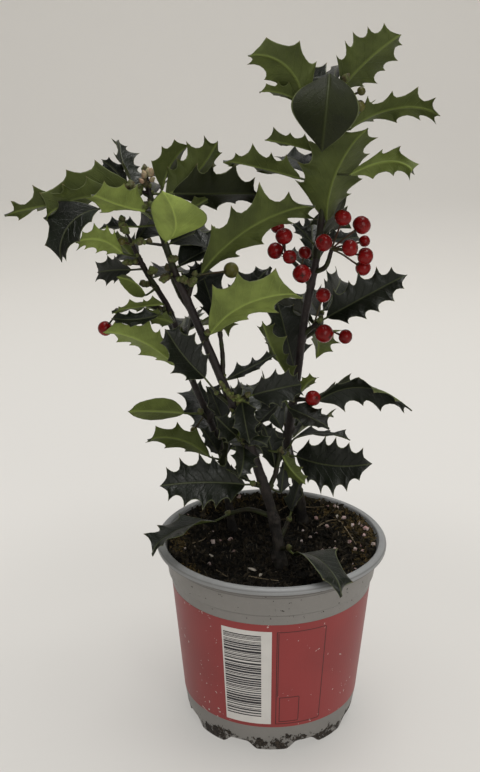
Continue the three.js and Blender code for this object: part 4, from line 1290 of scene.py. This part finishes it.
def make_stems(bark):
    """Each stem with its cracked bark, the collars where shoots leave it, leaf scars and pruned stubs."""
    finish = stem_bark(bark)
    sides, ring_gap = 44, 0.62
    turns = 2 * np.pi * np.arange(sides) / sides
    for number, (name, stem) in enumerate(STEMS.items()):
        path = Path(stem["line"])
        radius_at = stem_radius(stem, path)
        rings = int(path.length / ring_gap)
        side = np.array([1.0, 0, 0])
        rows, ways, shares = [], [], np.linspace(0, 1, rings + 1)
        for share in shares:
            along = np.array([0, 0, 1.0]) if share == 0 else path.tangent(share)
            side = unit(side - (side @ along) * along)
            across = np.cross(along, side)
            way = np.cos(turns)[:, None] * side + np.sin(turns)[:, None] * across
            rows.append(path.at(share) + way * radius_at(share))
            ways.append(way)
        points, ways = np.concatenate(rows), np.concatenate(ways)
        run = np.repeat(shares * path.length, sides)
        slim = np.repeat([radius_at(share) for share in shares], sides) / stem["foot"]
        squeezed = points * np.array([1, 1, 0.3])
        age = smoothstep(0.6, 0.05, run / path.length)
        cracks = -np.abs(lumps(squeezed, 1.5, 4 + number)) * 0.55 - np.abs(lumps(squeezed, 0.8, 9)) * 0.25
        relief = (cracks + 0.3) * age * bark.relief + 0.5 * lumps(points, 4.5, 2) * (0.4 + 0.6 * age)
        relief += 0.12 * lumps(points, 1.6, 7)
        scar = np.zeros(len(points))
        for spec in MASSES.values():
            if spec["stem"] == name and "at" in spec:
                share = path.share_at_height(spec["at"])
                foot = path.at(share) + unit(np.array(spec["route"][0]) - path.at(share)) * radius_at(share)
                away = np.linalg.norm(points - foot, axis=1)
                relief += 0.55 * mound(away, 2.2)
        marks = stream(31 + number)
        turn, share = 0.0, 0.12
        while share < 0.97:
            turn += GOLDEN_TURN
            a = int(turn / (2 * math.pi) * sides) % sides
            spot = points[int(share * rings) * sides + a]
            away = np.linalg.norm((points - spot) * np.array([1, 1, 1.5]), axis=1)
            relief += 0.5 * mound(away, 1.1) - 0.3 * mound(away, 0.5)
            scar = np.maximum(scar, 0.8 * mound(away, 0.75))
            share += (5 + 7 * next(marks)) / path.length
        for share, heading in STUBS[name]:
            first = int(share * rings) * sides
            look = way_at(math.radians(heading), 0.15)
            spot = points[first + int(np.argmax(ways[first:first + sides] @ look))]
            away = np.linalg.norm(points - spot, axis=1)
            relief += 1.15 * mound(away - 1.9, 0.75) + 0.5 * mound(away, 1.5, 4)
            scar = np.maximum(scar, mound(away, 1.35, 4))
        relief *= smoothstep(-0.5, 1.5, run) * (0.45 + 0.55 * slim)
        faces = ring_faces(rings + 1, sides)
        smooth = [True] * (len(faces) - 2) + [False, False]
        thing = build_mesh(f"bark_{name}", points + ways * relief[:, None], faces, [finish], smooth=smooth,
                           floats={"scar": scar})
        dress(thing, "bark", f"stem_{name}")


# -------- the growing rule


def blade_axes(heading, rise, roll=0.0):
    """Along, to the left, and out of the upper side of a blade."""
    h, r, turn = (math.radians(a) for a in (heading, rise, roll))
    along = np.array([math.cos(r) * math.cos(h), math.cos(r) * math.sin(h), math.sin(r)])
    side = spun(np.array([-math.sin(h), math.cos(h), 0.0]), along, turn)
    return along, side, np.cross(along, side)


def fan_leaves(seed, count, heading, spread, rise, length):
    """The leaves that the seeded rule adds, turned by the golden angle along the shoot."""
    draw = stream(seed)
    made = []
    for k in range(count):
        swing = (2 * ((k * GOLDEN_SHARE + 0.2) % 1) - 1) * spread if count > 1 else 0
        lift, size, roll, bend = (next(draw) for _ in range(4))
        made.append(leaf(0.3 + 0.7 * k / max(1, count - 1), heading + swing, rise + 60 * (lift - 0.45),
                         length * (0.75 + 0.35 * size), 130 * (roll - 0.5), bend=10 + 45 * bend,
                         width=0.48, tone=int(4 * roll) % 3))
    return made


def shoots():
    """Every mass's name, table row and shoot, with the radius the shoot starts with."""
    for name, row in MASSES.items():
        stem = STEMS[row["stem"]]
        path = Path(stem["line"])
        start = path.at(path.share_at_height(row["at"])) if "at" in row else path.at(1.0)
        thick = SHOOT_THICK if "at" in row else stem["end"]
        yield name, row, Path([start, *row["route"]]), thick


def all_leaves():
    """Every leaf, with its mass's name, its stem and the point of the shoot that it grows from."""
    for name, row, shoot, _ in shoots():
        fan = fan_leaves(*row["fan"]) if "fan" in row else []
        for spec in row.get("leaves", []) + fan:
            yield name, row["stem"], spec, shoot.at(spec["along"])


def stalk_of(spec, start):
    """Where a leaf's blade begins and which way its stalk sets out."""
    heading, rise = spec.get("lead", (spec["heading"], spec["rise"]))
    lead = blade_axes(heading, rise)[0]
    return start + lead * spec["stalk"], lead


def spurs():
    """The foot, end and way of each short budded twig."""
    for _, row, shoot, _ in shoots():
        for along, heading, rise, length in row.get("spurs", []):
            foot, way = shoot.at(along), blade_axes(heading, rise)[0]
            yield foot, foot + way * length, way


# -------- leaves


def margin_of(spec, draw):
    """One side's margin from stalk to tip: places, half widths, lifts, spines and their shifts.

    Between two spines the margin is a hollow arc, and the spines point up and down in turn.
    Each spine is a little longer or shorter than the next and stands a little off its place.
    """
    count, length = spec.get("spines", BLADE.spines), spec["length"]
    width, smooth = spec.get("width", BLADE.width), spec.get("smooth", False)
    rows_a_gap, step = 8, 0.86 / count
    peaks = [0.0] + [0.07 + step * (k + 0.7) for k in range(count)] + [1.0]
    signs = [0.0] + [-1.0 if k % 2 else 1.0 for k in range(count)] + [-0.6]
    sizes = [1.0] + [0.7 + 0.6 * next(draw) for _ in range(count)] + [1.0]
    moves = [0.0] + [0.05 * (next(draw) - 0.5) for _ in range(count)] + [0.0]
    rows = []
    for k, (low, high) in enumerate(zip(peaks, peaks[1:])):
        for j in range(rows_a_gap):
            t = 0.5 - 0.5 * math.cos(math.pi * j / rows_a_gap)
            rows.append((k, low + (high - low) * t, t))
    rows.append((len(peaks) - 2, 1.0, 1.0))
    out = []
    for k, at, t in rows:
        plain = length * width * 1.04 * max(0.0, math.sin(math.pi * at**0.9)) ** 0.7 / 2
        near = abs(2 * t - 1)
        if (k == 0 and t < 0.5) or (k == count and t > 0.5):
            near = 0.0
        hollow = 1.0 if smooth else BLADE.valley + (1 - BLADE.valley) * near**2
        barb, thorn = (0.0, 0.0) if smooth else (near**3.2, near**8)
        if k == count:
            plain *= (1 - t**2) ** 0.7
            thorn = max(thorn, t**8)
        s = t * t * (3 - 2 * t)
        size = sizes[k] * (1 - s) + sizes[k + 1] * s
        lift = 0.0 if smooth else (signs[k] * (1 - s) + signs[k + 1] * s) * length * BLADE.wave * size
        spine = barb * length * BLADE.spine * size if k < count or t < 0.5 else 0.0
        out.append((at, max(plain * hollow + spine, 0.55 if at < 0.5 else 0.16), lift, thorn, spine,
                    moves[k] * (1 - s) + moves[k + 1] * s))
    return np.array(out)


# Where a leaf's columns of points lie, as shares of its half width to the right and to the left.
COLUMNS = np.array([0, 0.03, 0.075, 0.16, 0.3, 0.48, 0.66, 0.82, 0.93, 1.0])
ACROSS = np.concatenate([-COLUMNS[:0:-1], COLUMNS])


def leaf_shape(spec, base, seed):
    """One leaf as a closed thin shell: points, attributes and the number of its rows."""
    along, side, up = blade_axes(spec["heading"], spec["rise"], spec["roll"])
    length = spec["length"]
    draw = stream(seed)
    right, left = margin_of(spec, draw), margin_of(spec, draw)
    rows = len(right)
    at, half, lift, thorn, spine, move = (
        np.where(ACROSS < 0, right[:, [i]], left[:, [i]]) for i in range(6))
    v = np.broadcast_to(ACROSS, at.shape)
    edge = np.abs(v)
    bend = math.radians(spec.get("bend", BLADE.bend))
    lean = spine * edge**5 * 0.55 / length
    place = np.clip(at + lean + move * edge**1.5, 0, 1)
    angle = bend * (place - 0.5)
    scale = length / (2 * math.sin(bend / 2))
    out = v * half
    rib = np.sqrt(out**2 + 0.5) - math.sqrt(0.5)
    fold = math.radians(BLADE.fold + 16 * (next(draw) - 0.5))
    spots = np.stack([place * length, out, np.full(out.shape, seed * 7.7)], -1).reshape(-1, 3)
    swell = np.minimum(1, np.abs(out) / 3)
    sway = 0.045 * length * lumps(spots, 0.42 * length, 5).reshape(out.shape) * edge
    pucker = 0.34 * lumps(spots, 7.0, 3).reshape(out.shape) * swell
    curl = -0.045 * length * edge**2.2 * np.sin(np.pi * place) * next(draw)
    droop = -0.05 * length * smoothstep(0.72, 1.1, place) ** 2 * next(draw)
    ripple = 0.1 * np.sin(2 * np.pi * (place * length * 0.2 - np.abs(out) * 0.16)) * swell
    rise = rib * math.sin(fold) + lift * edge**2.3 + sway + pucker + curl + droop + ripple
    belly = spec.get("curve", 0.04 * (next(draw) - 0.5)) * length * 4 * place * (1 - place)
    on, over = scale * (math.sin(bend / 2) + np.sin(angle)), scale * (np.cos(angle) - math.cos(bend / 2))
    middle = base + along * on[..., None] + side * belly[..., None] + up * over[..., None]
    tangent = along * np.cos(angle)[..., None] - up * np.sin(angle)[..., None]
    twist = (math.radians(spec.get("twist", 0)) * (place - 0.5))[..., None]
    across = side * np.cos(twist) + np.cross(tangent, side) * np.sin(twist)
    normal = np.cross(tangent, across)
    sheet = middle + across * (out * math.cos(fold))[..., None] + normal * rise[..., None]
    keel = mound(out, 0.55) * (1 - 0.75 * place)
    thick = 0.16 * (1 - edge**2) + 0.05
    upper = sheet + normal * (thick - 0.1 * keel)[..., None]
    lower = sheet - normal * (thick + 0.62 * keel)[..., None]
    grids = {"across": out, "along": place * length, "edge": edge, "thorn": thorn * edge**3}
    points = np.concatenate([upper.reshape(-1, 3), lower.reshape(-1, 3)])
    floats = {key: np.tile(grid.ravel(), 2) for key, grid in grids.items()}
    flat = np.concatenate([np.stack([place, low + 0.24 * v], -1).reshape(-1, 2) for low in (0.25, 0.75)])
    return points, floats, flat, rows


def shell_faces(rows, columns):
    """A leaf's faces: its upper and under sheets and the thin rim, with 0, 1 or 2 for each."""
    r, c = (a.ravel() for a in np.meshgrid(np.arange(rows - 1), np.arange(columns - 1), indexing="ij"))
    a, d = r * columns + c, r * columns + c + 1
    b, e = a + columns, d + columns
    under = rows * columns
    upper = np.stack([a, b, e, d], -1)
    lower = np.stack([a, d, e, b], -1) + under
    far = (rows - 1) * columns
    foot, left = np.arange(columns - 1), np.arange(rows - 1) * columns
    pairs = ((foot, foot + 1), (far + foot + 1, far + foot), (left + columns, left),
             (left + columns - 1, left + 2 * columns - 1))
    rim = np.concatenate([np.stack([p, q, q + under, p + under], -1) for p, q in pairs])
    faces = np.concatenate([upper, lower, rim])
    return faces, np.repeat([0, 1, 2], [len(upper), len(lower), len(rim)])


def make_leaves(leaves):
    """All leaves of each stem as one piece, with both finishes of every tone (partly age, partly painted
    shade and light).
    """
    faces_of = [leaf_face(leaves, age, upper) for age in range(len(LEAF_TONES)) for upper in (True, False)]
    for stem in STEMS:
        points, faces, numbers, flats, smooth = [], [], [], [], []
        floats = {key: [] for key in ("across", "along", "edge", "thorn")}
        count, masses = 0, set()
        for number, (mass, of, spec, start) in enumerate(all_leaves()):
            if of != stem:
                continue
            masses.add(mass)
            made, values, flat, rows = leaf_shape(spec, stalk_of(spec, start)[0], number + 50)
            shell, kinds = shell_faces(rows, len(ACROSS))
            points.append(made)
            faces += (shell + count).tolist()
            numbers.append(2 * spec.get("tone", 1) + (kinds > 0))
            smooth.append(kinds < 2)
            flats.append(flat)
            for key in floats:
                floats[key].append(values[key])
            count += len(made)
        thing = build_mesh(f"leaves_{stem}", np.concatenate(points), faces, faces_of,
                           np.concatenate(numbers), np.concatenate(smooth), np.concatenate(flats),
                           {key: np.concatenate(value) for key, value in floats.items()})
        dress(thing, "foliage", *sorted(masses))


# -------- shoots, stalks and berries


def make_tubes(name, lines, sides, material, slot, tree):
    """Round tubes along lines of (point in mm, radius in mm) pairs, as one piece."""
    points, thick = zip(*(joint for line in lines for joint in line))
    edges, start = [], 0
    for line in lines:
        edges += [(start + k, start + k + 1) for k in range(len(line) - 1)]
        start += len(line)
    seedling = build_mesh(name + "_lines", points, (), edges=edges, floats={"thick": np.array(thick) * MM})
    dress(grown(name, seedling, tree, {"Sides": sides, "Material": material}), slot)


def bent_line(start, lead, end, finish):
    """Points of a stalk that sets out along "lead" and arrives along "finish"."""
    reach = np.linalg.norm(end - start)
    a, b = start + lead * reach * 0.35, end - finish * reach * 0.3
    return [(1 - t) ** 3 * start + 3 * t * (1 - t) ** 2 * a + 3 * t * t * (1 - t) * b + t**3 * end
            for t in np.linspace(0, 1, 7)]


def make_twigs(bark, leaves):
    """The shoots that carry the leaves, and each leaf's stalk, running on into its midrib."""
    tree = tube_tree()
    woody = []
    for number, (_, row, shoot, thick) in enumerate(shoots()):
        steps = max(6, int(shoot.length / 1.6))
        joints = [spec["along"] for spec in row.get("leaves", [])]
        line = []
        for share in np.linspace(0, 1, steps + 1):
            swell = sum(0.28 * mound((share - joint) * shoot.length, 1.1) for joint in joints)
            wobble = 0.07 * math.sin(share * 31 + number)
            line.append((shoot.at(share), thick + (SHOOT_THIN - thick) * share + min(0.45, swell) + wobble))
        woody.append(line)
    for foot, end, _ in spurs():
        woody.append([(foot + (end - foot) * t, 0.85 - 0.3 * t) for t in np.linspace(0, 1, 6)])
    make_tubes("shoots", woody, 14, young_bark("young shoot skin", bark.young_colour, tinted(
        leaves.under_colour, 0.09)), "bark", tree)
    stalks = []
    for _, _, spec, start in all_leaves():
        base, lead = stalk_of(spec, start)
        bend = math.radians(spec.get("bend", BLADE.bend))
        along, _, up = blade_axes(spec["heading"], spec["rise"], spec["roll"])
        finish = along * math.cos(bend / 2) + up * math.sin(bend / 2)
        end = base + finish * 0.9 - np.cross(finish, np.cross(up, finish)) * 0.25
        line = bent_line(start, lead, end, finish)
        stalks.append([(p, 0.85 - 0.3 * min(1, k / 3)) for k, p in enumerate(line)])
    make_tubes("leaf_stalks", stalks, 9, young_bark(
        "leaf stalk skin", tinted(leaves.rib_colour, 0.2), tinted(leaves.under_colour, 0.3), 0.45),
        "foliage", tree)


def berry_form(name):
    """A berry of radius 1 along Z: slightly flattened, dimpled at both ends, with a four-part scar."""
    sides, rings = 24, 17
    points, caps = [], []
    for i in range(rings + 1):
        tilt = math.pi * i / rings
        for k in range(sides):
            turn = 2 * math.pi * k / sides
            top = math.exp(-(tilt / 0.3) ** 2)
            foot = math.exp(-((math.pi - tilt) / 0.34) ** 2)
            star = 0.65 + 0.35 * abs(math.cos(2 * turn))
            r = 1 - 0.14 * foot - 0.1 * math.exp(-((tilt / 0.42) ** 2)) + 0.075 * top * star
            r *= 1 + 0.012 * math.cos(4 * turn) * math.sin(tilt)
            points.append((r * math.sin(tilt) * math.cos(turn), r * math.sin(tilt) * math.sin(turn),
                           0.97 * r * math.cos(tilt)))
            caps.append(float(smoothstep(0.27 * star, 0.16 * star, tilt)))
    keep = [points[0]] + points[sides:-sides] + [points[-1]]
    caps = [caps[0]] + caps[sides:-sides] + [0.0]
    faces = poled_faces(rings - 1, sides, 1, 0, len(keep) - 1)
    turned = [(face[0], *face[:0:-1]) for face in faces]  # because these rings go downwards
    return build_mesh(name, keep, turned, floats={"cap": caps})


def make_cluster(name, spots, form, material, slot, seed, *nodes):
    """The form set at every (point in mm, way, size) of a list, as one piece."""
    points, ways, sizes = zip(*spots)
    seedling = build_mesh(name + "_spots", points, (), floats={"way": ways, "size": sizes})
    thing = grown(name, seedling, cluster_tree(), {"Form": form, "Seed": seed, "Material": material})
    bpy.data.objects.remove(form)
    dress(thing, slot, *nodes)


# The masses whose berries haven't ripened.
UNRIPE = {"sprig_long", "crown_right", "crown_back", "sprig_smooth"}


def make_berries(berries):
    """Ripe and unripe berries in their clusters, each on its own thin bent stalk."""
    ripe, green, stalks = [], [], []
    for name, row, shoot, _ in shoots():
        for spec in row.get("berries", []):
            start = shoot.at(spec["along"])
            lead = blade_axes(spec["heading"], spec["rise"])[0]
            centre = start + lead * spec["stalk"]
            sag = unit(lead + np.array([0, 0, 0.25]))
            line = bent_line(start, sag, centre - lead * spec["radius"] * 0.85, lead)
            stalks.append([(p, 0.5 + (0.14 if k in (0, 6) else 0.0)) for k, p in enumerate(line)])
            (green if name in UNRIPE else ripe).append((centre, lead, spec["radius"]))
    make_cluster("berries", ripe, berry_form("ripe_form"), berry_skin(
        "ripe skin", berries, berries.colour, berries.gloss), "fruit", 4, "berries_left", "berries_right")
    make_cluster("unripe_berries", green, berry_form("unripe_form"), berry_skin(
        "unripe skin", berries, berries.unripe_colour, berries.gloss + 0.08), "fruit", 8)
    make_tubes("berry_stalks", stalks, 8, young_bark(
        "berry stalk skin", (0.05, 0.045, 0.018), (0.06, 0.02, 0.014)), "foliage", tube_tree())


# -------- buds


def bud_form(name, slender=0.52):
    """A pointed bud of length 1 mm along Z, wrapped in scales that wind up it."""
    sides, rings = 22, 16
    points, seams = [(0, 0, 0)], [0.0]
    for i in range(1, rings):
        h = i / rings
        for k in range(sides):
            turn = 2 * math.pi * k / sides
            scale = math.sin(11 * h + turn * 2)
            r = slender * math.sin(math.pi * h**0.72) ** 0.85 * (1 + 0.09 * math.cos(2 * turn + 5.5 * h * 2))
            r += 0.035 * (scale > 0.75)
            points.append((r * math.cos(turn), r * math.sin(turn), h))
            seams.append(float(smoothstep(0.55, 0.95, scale)))
    points.append((0, 0, 1.0))
    seams.append(0.6)
    faces = poled_faces(rings - 1, sides, 1, 0, len(points) - 1)
    return build_mesh(name, points, faces, floats={"seam": seams})


# Single buds by place and way and their length in mm: opening ones on the left crown, and bare tips.
OPENING_BUDS = (
    ((-63.4, -6, 312.5), (0.25, -0.4, 1), 5.4), ((-65.6, -5, 311.5), (-0.3, -0.2, 1), 4.8),
    ((-64.6, -4, 313), (0.1, 0.5, 1), 4.6), ((-63, -7, 310.5), (0.6, -0.6, 0.6), 3.9),
    ((-66.6, -6, 309.5), (-0.6, -0.5, 0.7), 3.6),
)
BARE_TIPS = (
    ((-72.5, -4, 306), (-0.3, 0, 1), 5.4), ((-69, -6, 303), (-0.1, -0.5, 0.8), 4.8),
    ((-78.5, 2, 288), (-0.2, -0.4, 1), 4.6), ((33.5, -3, 359), (0.5, -0.4, 0.8), 5.2),
)


def make_buds(leaves):
    """A small bud in each leaf's axil, a bigger one at each shoot's end, and old bud scales on the wood."""
    small, tips = [], []
    draw = stream(77)
    for _, row, shoot, _ in shoots():
        if "leaves" in row or "fan" in row:
            way = unit(shoot.tangent(1.0) + np.array([0, 0, 0.2]))
            tips.append((shoot.at(1.0), way, 3.2 + 1.6 * next(draw)))
    for _, _, spec, start in all_leaves():
        _, lead = stalk_of(spec, start)
        way = unit(lead + np.array([0, 0, 0.9]))
        small.append((start + way * 0.7, way, 1.6 + 1.0 * next(draw)))
    for _, end, way in spurs():
        for k in range(9):
            out = unit(way * 0.8 + way_at(GOLDEN_TURN * k, 0.3))
            small.append((end - way * 1.3 * (k // 2), out, 1.9 + 1.8 * next(draw)))
    path = Path(STEMS["front"]["line"])
    radius_at = stem_radius(STEMS["front"], path)
    knot = []
    for k in range(44):
        share = path.share_at_height(186 + 14 * ((k * GOLDEN_SHARE) % 1))
        way = unit(way_at(-2.4 + 3.2 * ((k * 0.382) % 1), 0.3 + next(draw)))
        knot.append((path.at(share) + way * (radius_at(share) * 0.8 + 2.6 * next(draw) ** 2), way,
                     2.0 + 3.4 * next(draw)))
    tips += [(place, unit(way), size) for place, way, size in BARE_TIPS]
    pale = [(place, unit(way), size) for place, way, size in OPENING_BUDS]
    green = bud_scales("green bud scales", tinted(leaves.under_colour, 0.45), (0.07, 0.052, 0.024))
    make_cluster("axil_buds", small, bud_form("axil_form"), green, "foliage", 12)
    make_cluster("knot_scales", knot, bud_form("knot_form", 0.24), bud_scales(
        "knot scales", tinted(leaves.under_colour, 0.75), (0.09, 0.07, 0.03)), "foliage", 16)
    make_cluster("tip_buds", tips, bud_form("tip_form", 0.4), green, "foliage", 14)
    make_cluster("crown_buds", pale, bud_form("crown_form", 0.33), bud_scales(
        "opening bud scales", (0.4, 0.25, 0.17), (0.3, 0.27, 0.15)), "foliage", 15)


# -------- studio


# Each lamp's name, place and aim in m, width, the setting of its power, and its colour.
LAMPS = (
    ("overhead softbox", (0.1, 0.2, 2.3), (0.05, 0.1, 0), 1.5, "top_light", (1.0, 0.985, 0.96)),
    ("background softbox", (0, 2.4, 2.2), (0, 3.0, 0.2), 2.2, "back_light", (1.0, 0.985, 0.96)),
    ("front fill", (0.6, -1.6, 0.9), (0, 0, 0.2), 1.2, "front_light", (1.0, 0.99, 0.97)),
)
CAMERA_PLACE, CAMERA_PITCH = (-0.0178, -0.5739, 0.3922), 18.609  # in m, and degrees below level


def make_studio(studio):
    """A pale paper floor that sweeps up all round, soft light, and the camera."""
    sides, flat, sweep = 96, 1.9, 1.3
    profile = [(r, 0.0) for r in (0.2, 0.6, 1.2, flat)]
    profile += [(flat + sweep * math.sin(a), sweep - sweep * math.cos(a))
                for a in np.linspace(0.12, math.pi / 2, 14)]
    turns = [2 * math.pi * k / sides for k in range(sides)]
    points, faces = [(0, 0, 0)], []
    for r, z in profile:
        points += [(r / MM * math.cos(turn), r / MM * math.sin(turn), z / MM) for turn in turns]
    for k in range(sides):
        n = (k + 1) % sides
        faces.append((0, 1 + k, 1 + n))
        for i in range(len(profile) - 1):
            a, b = 1 + i * sides + k, 1 + i * sides + n
            faces.append((a, a + sides, b + sides, b))
    floor = build_mesh("paper_floor", points, faces, [paper(studio)])
    scene = bpy.context.scene
    world = bpy.data.worlds.new("soft room")
    scene.world = world
    world.use_nodes = True
    sky = Graph(world.node_tree)
    glow = sky.node("ShaderNodeBackground", {}, {
        "Color": rgba(studio.room_colour), "Strength": studio.room_light})
    sky.node("ShaderNodeOutputWorld", {}, {"Surface": glow})
    for name, place, target, size, power, colour in LAMPS:
        lamp = bpy.data.lights.new(name, "AREA")
        lamp.shape, lamp.size, lamp.color = "DISK", size, colour
        lamp.energy = getattr(studio, power)
        thing = linked(name, lamp)
        thing.location = place
        thing.rotation_euler = (Vector(target) - Vector(place)).to_track_quat("-Z", "Y").to_euler()
    lens = bpy.data.cameras.new("view")
    lens.lens, lens.sensor_width = studio.lens, 36.0
    lens.clip_start, lens.clip_end = 0.02, 20
    camera = linked("view", lens)
    camera.location = CAMERA_PLACE
    camera.rotation_euler = (math.radians(90 - CAMERA_PITCH), 0.0, 0.0)
    scene.camera = camera
    scene.view_settings.view_transform = "Standard"


# -------- what a user may change


def colour_property(name, description, default):
    return FloatVectorProperty(name=name, description=description, subtype="COLOR", size=3, min=0, max=1,
                               default=default)


def number_property(name, description, default, low, high=1000.0, **more):
    return FloatProperty(name=name, description=description, default=default, min=low, max=high, **more)


class HollyPot(PropertyGroup):
    """Colours of the pot and its print."""
    wall_colour: colour_property("Wall", "Grey plastic of the pot", (0.235, 0.224, 0.209))
    # The lip's lighter, cooler grey is a painted highlight on the rolled lip.
    lip_highlight_colour: colour_property("Lip", "The lighter, cooler plastic of the rolled lip", (0.286, 0.294, 0.299))
    dirt_colour: colour_property("Dirt", "Soil splashed on the foot", (0.028, 0.02, 0.014))
    band_colour: colour_property("Band", "Red ink of the printed band", (0.27, 0.034, 0.0335))
    panel_colour: colour_property("Panel", "Pale ink of the blank panel", (0.7, 0.68, 0.65))
    stripe_colour: colour_property("Stripes", "Dark ink of the plain stripes", (0.02, 0.018, 0.022))
    line_colour: colour_property("Lines", "Ink of the thin empty frames", (0.06, 0.015, 0.015))


class HollySoil(PropertyGroup):
    """The compost and the loose bits on it."""
    colour: colour_property("Compost", "Damp peat", (0.0045, 0.0039, 0.0027))
    crumb_colour: colour_property("Crumbs", "Dry crumbs and bark", (0.017, 0.0135, 0.0085))
    litter: number_property("Litter", "How many loose bits lie on the compost", 1.0, 0.1, 2.0)


class HollyBark(PropertyGroup):
    """The woody stems."""
    old_colour: colour_property("Old bark", "Grey-brown bark low on the stems", (0.015, 0.0125, 0.01))
    young_colour: colour_property("Young bark", "Purple-brown skin of upper wood", (0.0115, 0.0062, 0.0056))
    relief: number_property("Cracks", "Depth of the cracks in the old bark, in mm", 1.5, 0.0, 2.0)


class HollyLeaves(PropertyGroup):
    """The two sides of the leaves."""
    upper_colour: colour_property("Upper side", "Dark glossy green", (0.0085, 0.013, 0.005))
    under_colour: colour_property("Under side", "Matt yellow-green", (0.21, 0.265, 0.062))
    rib_colour: colour_property("Midrib", "Pale midrib and margin", (0.2, 0.23, 0.1))
    thorn_colour: colour_property("Spines", "Dry tips of the spines", (0.16, 0.12, 0.05))
    gloss: number_property("Roughness above", "Roughness of the upper side", 0.27, 0.1, 0.7)


class HollyBerries(PropertyGroup):
    """The fruit."""
    colour: colour_property("Ripe", "Ripe berries", (0.175, 0.0045, 0.0045))
    unripe_colour: colour_property("Unripe", "Unripe berries", (0.09, 0.085, 0.022))
    scar_colour: colour_property("Scar", "Dry scar at the berry's end", (0.03, 0.014, 0.01))
    gloss: number_property("Roughness", "Roughness of the skin", 0.2, 0.05, 0.6)


class HollyStudio(PropertyGroup):
    """Floor, light and lens."""
    floor_colour: colour_property("Floor", "Pale paper", (0.72, 0.7, 0.665))
    floor_glow: number_property("Glow", "How much of the floor's light is its own", 0.6, 0.0, 1.0)
    room_colour: colour_property("Room", "Light from all round", (1.0, 0.99, 0.97))
    room_light: number_property("Room light", "Strength of the even light", 0.16, 0.0)
    top_light: number_property("Overhead", "Power of the overhead softbox", 45.0, 0.0, subtype="POWER")
    back_light: number_property("Background", "Power of the softbox behind the plant", 13.0, 0.0,
                                subtype="POWER")
    front_light: number_property("Front", "Power of the front fill", 10.0, 0.0, subtype="POWER")
    lens: number_property("Lens", "Focal length", 52.0, 10.0, unit="CAMERA")


# -------- operators and panel


class HOLLY_OT_pot(Operator):
    """Make the lobed pot with its rolled lip"""
    bl_idname, bl_label = "holly.pot", "Pot"

    def execute(self, context):
        make_pot(context.scene.holly_pot)
        return {"FINISHED"}


class HOLLY_OT_print(Operator):
    """Print the red band, blank panel, stripes and frames"""
    bl_idname, bl_label = "holly.print", "Print"

    def execute(self, context):
        make_print(context.scene.holly_pot)
        return {"FINISHED"}


class HOLLY_OT_soil(Operator):
    """Fill the pot with compost, chips, grains and moss"""
    bl_idname, bl_label = "holly.soil", "Compost"

    def execute(self, context):
        make_soil(context.scene.holly_soil)
        return {"FINISHED"}


class HOLLY_OT_stems(Operator):
    """Grow the three woody stems"""
    bl_idname, bl_label = "holly.stems", "Stems"

    def execute(self, context):
        make_stems(context.scene.holly_bark)
        return {"FINISHED"}


class HOLLY_OT_twigs(Operator):
    """Grow the shoots and leaf stalks"""
    bl_idname, bl_label = "holly.twigs", "Shoots and stalks"

    def execute(self, context):
        make_twigs(context.scene.holly_bark, context.scene.holly_leaves)
        return {"FINISHED"}


class HOLLY_OT_leaves(Operator):
    """Grow the spiny leaves of all masses"""
    bl_idname, bl_label = "holly.leaves", "Leaves"

    def execute(self, context):
        make_leaves(context.scene.holly_leaves)
        return {"FINISHED"}


class HOLLY_OT_berries(Operator):
    """Hang the ripe and unripe berries"""
    bl_idname, bl_label = "holly.berries", "Berries"

    def execute(self, context):
        make_berries(context.scene.holly_berries)
        return {"FINISHED"}


class HOLLY_OT_buds(Operator):
    """Set the buds in the axils and at the shoots' ends"""
    bl_idname, bl_label = "holly.buds", "Buds"

    def execute(self, context):
        make_buds(context.scene.holly_leaves)
        return {"FINISHED"}


class HOLLY_OT_studio(Operator):
    """Lay the floor, set the lights and place the camera"""
    bl_idname, bl_label = "holly.studio", "Studio"

    def execute(self, context):
        make_studio(context.scene.holly_studio)
        return {"FINISHED"}


# The operators in the order in which they run, and the settings by their names on the scene.
OPERATORS = (HOLLY_OT_pot, HOLLY_OT_print, HOLLY_OT_soil, HOLLY_OT_stems, HOLLY_OT_twigs,
             HOLLY_OT_leaves, HOLLY_OT_berries, HOLLY_OT_buds, HOLLY_OT_studio)
GROUPS = {"holly_pot": HollyPot, "holly_soil": HollySoil, "holly_bark": HollyBark,
          "holly_leaves": HollyLeaves, "holly_berries": HollyBerries, "holly_studio": HollyStudio}


class HOLLY_PT_panel(Panel):
    """The holly's pieces and what can be changed about them"""
    bl_label = "Potted Holly"
    bl_space_type = "VIEW_3D"
    bl_region_type = "UI"
    bl_category = "Holly"

    def draw(self, context):
        layout = self.layout
        for kind in OPERATORS:
            layout.operator(kind.bl_idname)
        for key, kind in GROUPS.items():
            box = layout.box()
            box.label(text=kind.__doc__.rstrip("."))
            for name in kind.__annotations__:
                box.prop(getattr(context.scene, key), name)


def register():
    for kind in (*GROUPS.values(), *OPERATORS, HOLLY_PT_panel):
        bpy.utils.register_class(kind)
    for key, kind in GROUPS.items():
        setattr(bpy.types.Scene, key, PointerProperty(type=kind))


def unregister():
    for key in GROUPS:
        delattr(bpy.types.Scene, key)
    for kind in reversed((*GROUPS.values(), *OPERATORS, HOLLY_PT_panel)):
        bpy.utils.unregister_class(kind)


def main():
    register()
    for kind in OPERATORS:
        group, action = kind.bl_idname.split(".")
        getattr(getattr(bpy.ops, group), action)()


if __name__ == "__main__":
    main()
